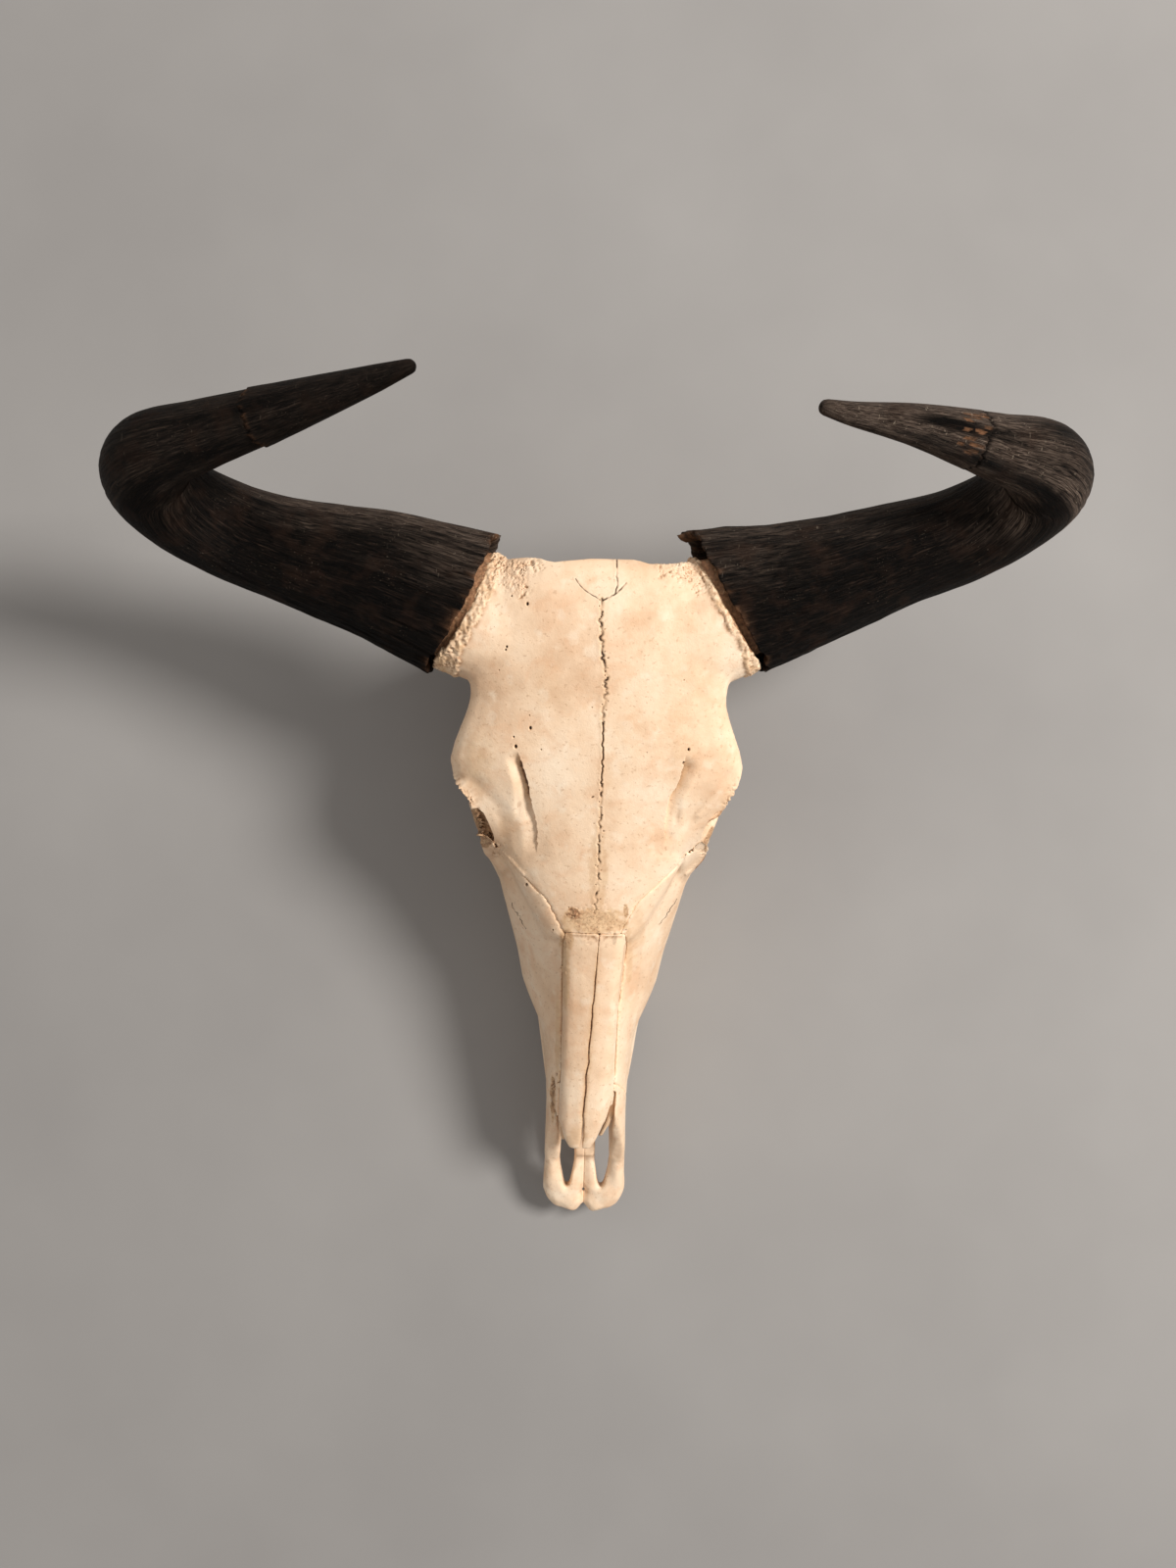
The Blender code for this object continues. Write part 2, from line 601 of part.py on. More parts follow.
def cavities():
    """What is cut from the fused bone."""
    rings = []
    for k in range(9):
        y = -0.285 + 0.150 * k / 8
        shrink = math.sqrt(max(1 - (k / 8.4) ** 4, 0.02))
        top = spline(TOP_LINE, y) - 0.0100
        floor = 0.0380 + 0.0090 * k / 8
        section = superellipse(0.0195 * shrink, 0.060, 0.060 + (top - 0.060) * shrink, floor, 2.4, 2.6, 20)
        rings.append([Vector((x, y, z)) for x, z in section])
    nose = loft("nose", rings)
    palate = sweep(
        "palate",
        (
            (0, -0.1900, 0.0260, 0.0170, 0.0060),
            (0, -0.1500, 0.0230, 0.0210, 0.0150),
            (0, -0.1000, 0.0220, 0.0260, 0.0180),
            (0, -0.0550, 0.0230, 0.0260, 0.0200),
        ),
        Vector((1, 0, 0)), sides=20,
    )
    throat = sweep(
        "throat",
        ((0, -0.0700, 0.0560, 0.0140, 0.0130), (0, -0.0200, 0.0420, 0.0150, 0.0200), (0, 0.0250, 0.0330, 0.0135, 0.0200)),
        Vector((1, 0, 0)), sides=20,
    )
    neck_hole = sweep(
        "neck_hole",
        (
            (0, 0.1800, 0.0430, FORAMEN_RADIUS * 1.3, FORAMEN_RADIUS * 1.2),
            (0, 0.1350, 0.0600, FORAMEN_RADIUS * 1.1, FORAMEN_RADIUS),
            (0, 0.0900, 0.0800, FORAMEN_RADIUS * 1.2, FORAMEN_RADIUS),
        ),
        Vector((1, 0, 0)), sides=20,
    )
    return [nose, palate, throat, neck_hole]


def side_cavities(sign):
    """Eye socket, temple hollow, cheek hole, palate slot and ear hole."""
    centre = Vector((sign * ORBIT_CENTRE.x, ORBIT_CENTRE.y, ORBIT_CENTRE.z))
    axis = Vector((sign * ORBIT_AXIS.x, ORBIT_AXIS.y, ORBIT_AXIS.z))
    rows = [
        (*(centre + axis * reach), radius, radius)
        for reach, radius in ((0.020, 0.0275), (0.004, 0.0262), (-0.012, 0.0245), (-0.032, 0.0150))
    ]
    socket = sweep("socket", rows, Vector((0, 0, 1)), sides=24, count=9, rounded=0.8)
    temple = sweep(
        "temple",
        (
            (sign * 0.0700, 0.0330, 0.1120, 0.0105, 0.0200),
            (sign * 0.0690, 0.0560, 0.1120, 0.0105, 0.0195),
            (sign * 0.0700, 0.0840, 0.1130, 0.0110, 0.0120),
        ),
        Vector((1, 0, 0)), sides=20,
    )
    drop = sweep(
        "drop",
        ((sign * 0.0560, 0.0350, 0.0950, 0.0100, 0.0100), (sign * 0.0560, 0.0360, 0.0500, 0.0140, 0.0140)),
        Vector((1, 0, 0)),
    )
    cheek_hole = sweep(
        "cheek_hole",
        ((sign * 0.0440, -0.1860, 0.0580, 0.0050, 0.0050), (sign * 0.0260, -0.1560, 0.0620, 0.0035, 0.0035)),
        Vector((0, 0, 1)), sides=12,
    )
    fissure = sweep(
        "fissure",
        (
            (sign * 0.0122, -0.2960, 0.0300, 0.0016, 0.0300),
            (sign * 0.0128, -0.2740, 0.0300, 0.0050, 0.0300),
            (sign * 0.0125, -0.2200, 0.0300, 0.0048, 0.0200),
        ),
        Vector((1, 0, 0)), sides=12, rounded=1.0,
    )
    ear_hole = sweep(
        "ear_hole",
        ((sign * 0.0500, 0.0880, 0.0805, 0.0045, 0.0045), (sign * 0.0700, 0.0880, 0.0905, 0.0052, 0.0052)),
        Vector((0, 1, 0)), sides=12,
    )
    return [socket, temple, drop, cheek_hole, fissure, ear_hole]


def nose_notch(sign):
    """The narrow wedge between the free tip of one nasal bone and the rod of the lip bone beside it."""
    rows = ((0.0190, -0.2100, 0.0008), (0.0172, -0.2250, 0.0024), (0.0150, -0.2420, 0.0046))
    if sign < 0:
        rows = ((0.0194, -0.2290, 0.0008), (0.0186, -0.2370, 0.0014), (0.0172, -0.2460, 0.0026))
    rows = [(sign * x, y, spline(TOP_LINE, y) - 0.0080, wide, 0.0200) for x, y, wide in rows]
    return [sweep("notch", rows, Vector((1, 0, 0)), sides=10, count=6)]


def brow_slits(sign):
    """The slit above one eye, cut after the bone has been thinned so that it stays sharp."""
    knots = BROW_SLIT["left" if sign > 0 else "right"]
    rows = []
    for (y, x), wide, deep in zip(knots, (0.0014, 0.0020, 0.0012), (0.0045, 0.0075, 0.0030)):
        rows.append((x, y, roof_height(x, y) + 0.0005, wide, deep))
    rows = [(sign * x, y, z, wide, deep) for x, y, z, wide, deep in rows]
    return [sweep("slit", rows, Vector((1, 0, 0)), sides=8, count=7)]


def brow_dishes(sign):
    """The shallow trough that runs forward from one slit."""
    y, x = BROW_SLIT["left" if sign > 0 else "right"][1]
    middle = (sign * (x + 0.0022), y - 0.0160, roof_height(x, y - 0.0160) + 0.0042)
    return [ellipsoid("dish", middle, (0.0072, 0.0240, 0.0068), (17, 0, sign * 10))]


def brow_shelves(sign):
    """The thin edge of the brow over one eye, with coarse teeth."""
    edge = BROW_EDGE["left" if sign > 0 else "right"]
    front, back = edge[0][0], edge[-1][0]
    rings = []
    for k in range(2 * BROW_TEETH + 1):
        y = front + (back - front) * k / (2 * BROW_TEETH)
        reach = spline(edge, y) - BROW_NOTCH * (k % 2)
        section = (
            (reach - 0.0130, 0.1495), (reach - 0.0050, 0.1482), (reach, 0.1452), (reach - 0.0004, 0.1438),
            (reach - 0.0060, 0.1425), (reach - 0.0130, 0.1425),
        )
        rings.append([Vector((sign * x, y, z)) for x, z in section])
    return [loft("shelf", rings)]


def soften(bone, centre, radius, rounds):
    """Smooths the bone round a point, less and less towards the radius."""
    group = bone.vertex_groups.new(name="soft")
    for vertex in bone.data.vertices:
        far = (vertex.co - centre).length / radius
        if far < 1:
            group.add([vertex.index], min(1.0, 2 * (1 - far)), "REPLACE")
    smooth = bone.modifiers.new("smooth", "SMOOTH")
    smooth.factor = 0.5
    smooth.iterations = rounds
    smooth.vertex_group = "soft"
    settle(bone)
    bone.vertex_groups.clear()


def whole_bone():
    """All bone as one body, before it is parted at its sutures."""
    added = muzzle() + roof() + braincase()
    for make in (nasal_ridges, premaxilla, tooth_ridge, eye_socket, skull_base, horn_base):
        added += both(make)
    bone = boolean(added[0], added[1:], "UNION")
    boolean(bone, cavities() + both(side_cavities) + both(brow_dishes), "DIFFERENCE")
    remesh = bone.modifiers.new("remesh", "REMESH")
    remesh.mode = "VOXEL"
    remesh.voxel_size = VOXEL
    smooth = bone.modifiers.new("smooth", "SMOOTH")
    smooth.factor = 0.5
    smooth.iterations = 4
    settle(bone)
    keep_largest(bone)
    for side, sign in SIDES.items():
        middle, outward = COLLARS[side]
        spot = middle - outward * 0.024
        soften(bone, Vector((sign * spot.x, spot.y, 0.172)), 0.040, 30)
        soften(bone, Vector((sign * 0.050, 0.105, 0.115)), 0.050, 24)
        soften(bone, Vector((sign * 0.055, 0.060, 0.115)), 0.040, 14)
        soften(bone, Vector((sign * 0.052, -0.058, 0.058)), 0.042, 16)
        soften(bone, Vector((sign * 0.061, -0.031, 0.138)), 0.021, 14)
    soften(bone, Vector((0, 0.135, 0.135)), 0.072, 45)
    triangles = sum(len(face.vertices) - 2 for face in bone.data.polygons)
    thin = bone.modifiers.new("thin", "DECIMATE")
    thin.ratio = BONE_TRIANGLES / triangles
    thin.use_collapse_triangulate = True
    settle(bone)
    boolean(bone, [collar_trim(side) for side in SIDES] + both(brow_slits) + both(nose_notch), "DIFFERENCE")
    boolean(bone, [core_stub(side, 0.0) for side in SIDES] + both(brow_shelves), "UNION")
    boolean(bone, [block("floor", (0, 0, 0), (0, 0, 1))], "DIFFERENCE")
    return keep_largest(bone)


def nasal_outline(grow):
    """Plan of the two nasal bones together, made grow larger all round."""
    front, root = NASAL_TIP_Y - 0.030, NASAL_ROOT_Y + grow
    sides = {}
    for side, out in SIDES.items():
        held = [(x + out * grow, y) for y, x in NASAL_EDGE[side] if y > NASAL_FREE_Y]
        sides[side] = [(held[0][0], front), *held]
    return sides["left"] + [(0.0215 + grow, root), (-0.0168 - grow, root)] + sides["right"][::-1]


def suture_planes(sign):
    """Points and forward normals of the two planes of the suture between one upper jaw and the cranium."""
    planes = (
        ((0.0579, -0.0455, 0.1200), (0.0376, -0.0676, 0.1370), (0.0400, -0.0480, 0.0300)),
        ((0.0300, -0.0800, 0.1370), (0.0205, -0.1010, 0.1340), (-0.0050, -0.0827, 0.1000)),
    )
    made = []
    for points in planes:
        near, far, low = (Vector((sign * x, y, z)) for x, y, z in points)
        normal = (far - near).cross(low - near).normalized()
        made.append((near, normal if normal.y < 0 else -normal))
    return made


def jaw_region(name, sign, grow):
    """Space of one upper jaw: ahead of its suture planes and on its own side of the middle."""
    spaces = [block(name, point - ahead * grow, -ahead) for point, ahead in suture_planes(sign)]
    spaces.append(block("middle", (sign * (GAP / 2 - grow), 0, 0), (-sign, 0, 0)))
    for other in spaces[1:]:
        boolean(spaces[0], [other], "INTERSECT")
    return spaces[0]


def part_bones(bone):
    """The whole bone parted at its sutures into named bones."""
    pieces = {}

    def under_nose(y):
        return spline(TOP_LINE, y) - SUTURE_FLOOR

    def nose_region(grow):
        tilt = (under_nose(NASAL_ROOT_Y) - under_nose(NASAL_TIP_Y)) / (NASAL_ROOT_Y - NASAL_TIP_Y)
        floor = under_nose(NASAL_ROOT_Y) - grow
        return prism("nose_region", nasal_outline(grow), lambda y: floor + tilt * (y - NASAL_ROOT_Y), 0.3)

    nose = boolean(copy_of(bone, "nose"), [nose_region(0.0)], "INTERSECT")
    boolean(bone, [nose_region(GAP)], "DIFFERENCE")
    (tip_y, tip_x), (root_y, root_x) = NASAL_CRACK
    for side, sign in SIDES.items():
        edge = Vector((root_x + sign * GAP / 2, root_y, 0))
        tip = Vector((tip_x + sign * CRACK_AT_TIP / 2, tip_y, 0))
        inward = -sign * Vector((edge.y - tip.y, tip.x - edge.x, 0)).normalized()
        half = boolean(copy_of(nose, "half"), [block("half_space", edge, inward)], "INTERSECT")
        pieces["nasal_" + side] = keep_largest(half)
    bpy.data.objects.remove(nose, do_unlink=True)

    split = Vector((0, -0.2050, 0.0880))
    ahead = Vector((0, -0.888, 0.459)).normalized()
    front = boolean(copy_of(bone, "front"), [block("front_space", split, -ahead)], "INTERSECT")
    boolean(bone, [block("front_space", split - ahead * GAP, -ahead)], "DIFFERENCE")
    for side, sign in SIDES.items():
        space = block("half_space", (sign * GAP / 2, 0, 0), (-sign, 0, 0))
        pieces["premaxilla_" + side] = keep_largest(boolean(copy_of(front, "half"), [space], "INTERSECT"))
    bpy.data.objects.remove(front, do_unlink=True)

    for side, sign in SIDES.items():
        jaw = boolean(copy_of(bone, "jaw"), [jaw_region("region", sign, 0.0)], "INTERSECT")
        pieces["maxilla_" + side] = keep_largest(jaw)
    boolean(bone, [jaw_region("region", sign, GAP) for sign in SIDES.values()], "DIFFERENCE")
    pieces["cranium"] = keep_largest(bone)
    return pieces


def tooth(sign, y, length, width, lobes):
    """One cheek tooth with a flat grinding face on the floor and its root in the jaw."""
    sides = 10 if lobes == 1 else 18
    rings = []
    for z, share in ((0.0, 0.93), (0.0060, 1.0), (0.0380, 0.86)):
        ring = []
        for k in range(sides):
            c, s = math.cos(math.tau * k / sides), math.sin(math.tau * k / sides)
            along = math.copysign(abs(c) ** 0.66, c) * length / 2
            across = math.copysign(abs(s) ** 0.66, s) * width / 2
            if lobes == 2:
                across *= 1 - 0.20 * math.exp(-((along / (0.16 * length)) ** 2))
            share_along = 1.0 if share > 0.9 else share
            ring.append(Vector((sign * spline(ROW_X, y) + across * share, y + along * share_along, z)))
        rings.append(ring)
    return loft("tooth", rings)


def tooth_row(sign):
    """The six cheek teeth of one side."""
    made, y = [], TOOTH_ROW_FRONT_Y
    for length, width, lobes in TEETH:
        made.append(tooth(sign, y + length / 2, length - TOOTH_SPACING, width, lobes))
        y += length
    return made


def rim_bow(side, depth):
    """How far the rim reaches towards the forehead, where depth runs from -1 on top of the horn to 1 below."""
    return RIM_BOW[side] * max(-depth, 0.0) ** 1.5


def horn_sheath(side, chance):
    """One keratin sheath: a bent, tapering horn with a broken rim round a shallow socket."""
    sign = SIDES[side]
    rows = spread_spline(HORN_PATHS[side], HORN_RINGS)
    middles = [Vector((sign * r[0], r[1], r[2])) for r in rows]
    rim_normal = COLLARS[side][1].copy()
    rim_normal.x *= sign
    jag = [RIM_JAG * (chance.random() - 0.35) for _ in range(HORN_SIDES)]
    rings = []
    for k, row in enumerate(rows):
        along = (middles[min(k + 1, HORN_RINGS - 1)] - middles[max(k - 1, 0)]).normalized()
        along = rim_normal.lerp(along, min(1.0, k / RIM_BLEND)).normalized()
        front = (Vector((0, 1, 0)) - along * along.y).normalized()
        rise = front.cross(along) * sign
        ring = []
        for j in range(HORN_SIDES):
            turn = math.tau * j / HORN_SIDES
            spot = middles[k] + front * row[3] * math.cos(turn) + rise * row[4] * math.sin(turn)
            bow = rim_bow(side, math.sin(turn)) * max(1 - k / 4, 0.0)
            ring.append(spot - along * (bow + jag[j] * (k == 0)))
        rings.append(ring)
    tip = (middles[-1] - middles[-2]).normalized()
    radius = rows[-1][3]
    for angle in (35, 65):
        shift, share = math.sin(math.radians(angle)) * radius, math.cos(math.radians(angle))
        rings.append([middles[-1] + tip * shift + (p - middles[-1]) * share for p in rings[HORN_RINGS - 1]])
    sheath = loft("sheath", rings)
    return boolean(sheath, [core_stub(side, SOCKET_CLEARANCE)], "DIFFERENCE")


def collar_trim(side):
    """What is cut off the stump beyond its collar, clear of the sheath's broken and curved rim."""
    middle, outward = COLLARS[side]
    rim = Vector(HORN_PATHS[side][0][:3])
    reach = (rim - middle).dot(outward) - RIM_JAG * 0.65 - 0.0004
    front = (Vector((0, 1, 0)) - outward * outward.y).normalized()
    rise = front.cross(outward)
    rings = []
    for share, shift in ((0.8, reach), (1.8, reach), (1.8, reach + 0.030)):
        ring = []
        for k in range(28):
            c, s = math.cos(math.tau * k / 28), math.sin(math.tau * k / 28)
            spot = middle + outward * (shift - rim_bow(side, s))
            spot += (front * COLLAR_HALF * c + rise * COLLAR_THICK * s) * share
            ring.append(Vector((SIDES[side] * spot.x, spot.y, spot.z)))
        rings.append(ring)
    return loft("trim", rings)


def centre_on_origin(objects):
    """Moves everything so that the middle of its footprint is at the origin."""
    corners = [v.co for obj in objects for v in obj.data.vertices]
    shift = Vector([-(min(c[i] for c in corners) + max(c[i] for c in corners)) / 2 for i in (0, 1)] + [0.0])
    for obj in objects:
        obj.data.transform(Matrix.Translation(shift))
    print("moved by", [round(v, 5) for v in shift])


def main():
    clear_scene()
    chance = random.Random(11)
    bone = whole_bone()
    pieces = part_bones(bone)
    for side, sign in SIDES.items():
        jaw = pieces["maxilla_" + side]
        keep_largest(boolean(jaw, tooth_row(sign), "UNION"))
    made = [finish(obj, name, BONE) for name, obj in pieces.items()]
    for side in SIDES:
        made.append(finish(horn_sheath(side, chance), "horn_" + side, HORN))
    centre_on_origin(made)


main()
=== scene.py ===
"""Looks of the wildebeest skull: finer bone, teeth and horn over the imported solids, with a floor,
soft light and the camera of the photograph.

Metres, +Z up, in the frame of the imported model. The nose points to -Y and the animal's left side is
at +X. Features that only the photograph places are given in its pixels, 1200 wide and 1600 high.
"""

import json
import math
import random

import bmesh
import bpy
import numpy as np
from mathutils import Matrix, Vector
from mathutils.bvhtree import BVHTree

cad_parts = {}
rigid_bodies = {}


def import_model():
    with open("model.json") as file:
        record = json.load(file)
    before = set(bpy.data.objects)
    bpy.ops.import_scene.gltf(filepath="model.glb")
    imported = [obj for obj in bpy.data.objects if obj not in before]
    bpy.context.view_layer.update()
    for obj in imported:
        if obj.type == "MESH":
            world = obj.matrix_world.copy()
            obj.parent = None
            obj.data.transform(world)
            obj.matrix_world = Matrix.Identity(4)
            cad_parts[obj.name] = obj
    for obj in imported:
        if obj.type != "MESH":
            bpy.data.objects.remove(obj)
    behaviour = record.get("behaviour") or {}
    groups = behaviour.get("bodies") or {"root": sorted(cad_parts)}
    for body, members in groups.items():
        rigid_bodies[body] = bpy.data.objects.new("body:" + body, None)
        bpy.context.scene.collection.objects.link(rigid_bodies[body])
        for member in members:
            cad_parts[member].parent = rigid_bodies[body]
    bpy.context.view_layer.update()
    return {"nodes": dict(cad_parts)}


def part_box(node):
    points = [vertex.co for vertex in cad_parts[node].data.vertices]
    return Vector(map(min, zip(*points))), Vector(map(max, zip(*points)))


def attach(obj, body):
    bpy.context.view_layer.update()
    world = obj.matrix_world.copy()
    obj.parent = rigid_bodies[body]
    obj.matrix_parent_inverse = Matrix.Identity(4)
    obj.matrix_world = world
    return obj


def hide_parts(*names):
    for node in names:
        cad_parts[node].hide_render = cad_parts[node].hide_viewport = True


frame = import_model()

# The camera looks straight down. The skull was moved by SHIFT when its footprint was centred
SHIFT = np.array((0.00501, 0.04902, 0.0))
CAMERA_TURN = math.atan(0.0280)
CAMERA_ASIDE = 0.0050
CAMERA_HEIGHT = 0.89
FOCAL_PIXELS = 1200.0
PHOTO_MIDDLE = np.array((600.0, 800.0))

SIDES = {"left": 1.0, "right": -1.0}
BONES = ("cranium", *(bone + "_" + side for bone in ("maxilla", "nasal", "premaxilla") for side in SIDES))
BIG_BONES = BONES[:3]
VOXEL = 0.0013
SMALL_BONE_VOXEL = 0.7 * VOXEL
SMOOTHING = 14
# Rounds of finer faces: how near a line in pixels, and how deep the roughness of a patch is to be taken in
REFINEMENTS = (((6.0, 0.0), (3.0, 0.00085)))
SEAM_WIDTH = 0.0012  # how far apart two bones' solids are at most where they meet
SEAM_CLOSING = 0.47  # share of the gap between two bones that each of them closes
SEAM_REACH = 0.004  # how far from other bones a point's distance to them is still known
FLOOR_REACH = 3.0
GUM_HEIGHT = 0.0215  # the cheek teeth stand free of the jaw below this

# Middle and outward normal of the rough bone collars, and the horn paths, as in the solids
COLLARS = {
    "right": ((0.0854, 0.1062, 0.1560), (0.890, 0.445, -0.080)),
    "left": ((0.0783, 0.1077, 0.1560), (0.850, 0.510, -0.080)),
}
HORN_PATHS = {
    "right": (
        (0.0873, 0.1105, 0.1560, 0.0477, 0.0315),
        (0.1398, 0.1273, 0.1510, 0.0406, 0.0310),
        (0.1986, 0.1421, 0.1480, 0.0325, 0.0300),
        (0.2330, 0.1525, 0.1530, 0.0302, 0.0288),
        (0.2605, 0.1645, 0.1700, 0.0286, 0.0272),
        (0.2715, 0.1760, 0.1935, 0.0268, 0.0258),
        (0.2590, 0.1840, 0.2130, 0.0235, 0.0235),
        (0.2280, 0.1900, 0.2285, 0.0190, 0.0195),
        (0.1800, 0.1992, 0.2470, 0.0139, 0.0145),
        (0.1253, 0.2081, 0.2740, 0.0072, 0.0075),
        (0.1030, 0.2116, 0.2862, 0.0038, 0.0040),
    ),
    "left": (
        (0.0789, 0.1169, 0.1560, 0.0497, 0.0315),
        (0.1176, 0.1257, 0.1520, 0.0415, 0.0310),
        (0.1860, 0.1498, 0.1480, 0.0325, 0.0300),
        (0.2230, 0.1621, 0.1535, 0.0300, 0.0285),
        (0.2490, 0.1750, 0.1700, 0.0286, 0.0272),
        (0.2610, 0.1865, 0.1940, 0.0268, 0.0256),
        (0.2490, 0.1935, 0.2130, 0.0232, 0.0230),
        (0.2190, 0.1965, 0.2270, 0.0180, 0.0185),
        (0.1719, 0.2010, 0.2460, 0.0115, 0.0120),
        (0.1294, 0.1996, 0.2680, 0.0062, 0.0065),
        (0.1135, 0.1987, 0.2795, 0.0042, 0.0045),
    ),
}
# How far the rim reaches towards the forehead on the horn's upper face
RIM_BOW = {"left": 0.0062, "right": 0.0092}
RIM_BLEND = 0.14  # share of the horn's length over which the slanted rim turns square to it
HORN_SIDES, HORN_RINGS = ((330, 390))
RIM_BOW_END = 4 / 38  # share of the horn's length over which the rim's bow fades, as in the solids
# Rings inside the rim of a sheath: how far in from its outside, and how far along the horn
RIM_INSIDE = ((0.0085, 0.012), (0.0060, 0.003), (0.0030, 0.0006), (0.0008, 0.0))
TIP_ANGLES = (30, 55, 75)  # degrees of the rings that round off the tip
CHIPS = 17  # small torn places beyond the crack of the left horn
# Where the outer layer of each horn ends in a flaky step, near its tip
HORN_BREAKS = {"right": (265, 427), "left": (992, 448)}
BREAK_FRAY = {"right": 0.32, "left": 0.10}
BREAK_STEP = {"right": 0.0008, "left": 0.0003}
BREAK_CRACK = {"right": 0.0005, "left": 0.0018}
# Lips and notches of each sheath's rim: turn in degrees from its back edge, half width and reach
RIM_LIPS = {
    "right": (
        (-4, 9, 0.0038), (-27, 9, -0.0030), (-62, 6, -0.0012), (-118, 7, 0.0012), (-176, 5, 0.0030),
        (-162, 5, -0.0016),
    ),
    "left": ((-8, 12, 0.0100), (-36, 8, -0.0016), (-58, 5, 0.0012), (-150, 8, -0.0014), (-174, 6, 0.0022)),
}
# How pale each horn is made: by painted light on the upper edge of its base, and by weathering on its bend and
# near its tip
UPPER_LIGHT_AND_WEATHERING = {"right": (0.85, 0.25, 0.15), "left": (0.55, 1.00, 1.20)}

# Seams of the bone: x and y pixel and wander in pixels along each, then half width and depth in metres
SEAMS = {
    "forehead_upper": (
        ((614, 611, 1.5), (613, 625, 3.0), (613, 638, 3.4), (616, 668, 3.0), (618, 690, 4.4), (618, 705, 4.8),
         (616, 722, 2.6), (615, 740, 1.2)),
        0.00070, 0.0012,
    ),
    "forehead_crack": (((615, 738, 1.4), (615, 762, 1.5), (615, 784, 1.5), (614, 800, 1.4)), 0.00046, 0.0014),
    "forehead_lower": (
        ((614, 800, 1.0), (613, 812, 2.0), (612, 852, 2.4), (610, 893, 3.0), (609, 915, 2.8), (607, 932, 2.0)),
        0.00060, 0.0012,
    ),
    "crown_left": (((611, 611, 0.4), (600, 605, 0.8), (592, 598, 0.6), (587, 590, 0.4)), 0.00032, 0.0003),
    "crown_right": (
        ((615, 613, 0.4), (622, 609, 1.2), (629, 606, 1.2), (634, 601, 1.0), (639, 595, 0.4)), 0.00050, 0.0007,
    ),
    "crown_middle": (((629, 571, 0.2), (629, 582, 0.8), (630, 594, 0.8), (628, 606, 0.2)), 0.00045, 0.0006),
    "jaw_right": (((521, 922, 1.4), (526, 932, 2.2), (532, 939, 1.8), (537, 948, 1.0)), 0.00032, 0.0004),
    "jaw_left": (((690, 917, 1.0), (683, 930, 1.6), (672, 945, 1.0)), 0.00030, 0.0003),
}
# Pits along the forehead's suture: first and last row, pixels to a side, and widest radius in metres
SUTURE_PITS = ((612, 742, 1.0, 0.00055), (800, 934, 1.5, 0.00055))
# The broken strip beside the nose bones
BROKEN_STRIP = (((566, 1096, 1.0), (564, 1108, 1.6), (563, 1124, 2.0), (567, 1142, 1.6)), 0.0010, 0.0014)
# The inner edge of the trough above each eye, from back to front in pixels
TROUGHS = {
    "right": ((528, 766), (533, 782), (538, 798), (541, 814), (543, 828), (546, 838), (548, 852), (547, 872)),
    "left": ((699, 770), (698, 784), (695, 793), (690, 804), (684, 814), (681, 824), (679, 838), (678, 864)),
}
TROUGH_DEPTH = 0.0046
# Stretches where the solids' steps are evened out: a line in pixels, how near its own shape is left out of the
# fitted surface, how far that surface is fitted, and where the evening is full and gone
EVENED = (
    (TROUGHS["right"], 12, 24, 8, 18),
    (TROUGHS["left"], 12, 24, 8, 18),
    (((478, 808), (490, 826), (502, 854)), 0, 30, 9, 24),
    (((750, 800), (732, 828), (716, 858), (708, 872)), 0, 30, 9, 24),
)
LOWEST_EVENED = 0.118
# The eye sockets as the camera sees them beside each brow: outlines in pixels
SOCKET_WINDOWS = (
    ((476, 826), (487, 825), (493, 830), (498, 840), (503, 852), (504, 858), (498, 866),
     (490, 865), (480, 848)),
    ((726, 842), (723, 847), (716, 860), (722, 863), (728, 849), (730, 844)),
)
WINDOW_DEPTH = 0.0046
# Fine raised ridges of the tear bones: pixels along each
RIDGES = (((503, 861), (512, 868), (522, 878), (534, 892)), ((722, 866), (712, 880), (700, 892)))
# The split between the nasal bones as (y, x), as in the solids
NASAL_CRACK = ((-0.2515, -0.0030), (-0.0965, 0.0050))
# The frayed edge of each brow, and the way that its teeth point
BROW_FRAYS = {
    "right": (((461, 794), (466, 802), (472, 811), (478, 817)), (-0.66, -0.50)),
    "left": (((750, 811), (747, 816), (743, 821)), (0.48, -0.30)),
}
FRAY_REACH = 0.0011
# The crest between the horns shows no bone above these rows of pixels
CREST_ROWS = (
    (500, 560), (512, 563), (526, 566), (546, 570), (565, 574), (582, 572), (604, 570), (646, 571), (662, 575),
    (676, 577), (690, 576), (700, 573), (724, 571), (732, 560),
)
# Places whose edges stay crisp: pixel and radius
CRISP_PLACES = ((536, 805, 34), (691, 812, 34), (472, 811, 20), (747, 814, 22))
# Small holes of the bone: the pixels of each under its radius and depth in metres
HOLES_BY_SIZE = {
    (0.0006, 0.0020): ((524, 752),),
    (0.0011, 0.0035): ((526, 762),),
    (0.0009, 0.0025): ((703, 765),),
    (0.0010, 0.0035): ((698, 779),),
    (0.0010, 0.0024): ((541, 743),),
    (0.0005, 0.0012): ((552, 765),),
    (0.0008, 0.0012): ((517, 660),),
    (0.0007, 0.0010): ((516, 663),),
    (0.0010, 0.0018): ((538, 616),),
    (0.0006, 0.0012): ((522, 608), (564, 949)),
    (0.0006, 0.0010): ((532, 581),),
    (0.0004, 0.0008): ((540, 730), (509, 684), (604, 722), (698, 694), (650, 560)),
    (0.0010, 0.0022): ((537, 903),),
    (0.0004, 0.0006): ((587, 933), (580, 926), (637, 924), (639, 949), (660, 768)),
    (0.0003, 0.0005): ((583, 937), (590, 927), (578, 934), (575, 966), (641, 934), (592, 860)),
    (0.0003, 0.0006): ((575, 977), (575, 992), (575, 1007), (615, 560), (504, 640)),
    (0.0004, 0.0007): ((574, 985), (573, 999)),
}
HOLES = tuple((*spot, *size) for size, spots in HOLES_BY_SIZE.items() for spot in spots)
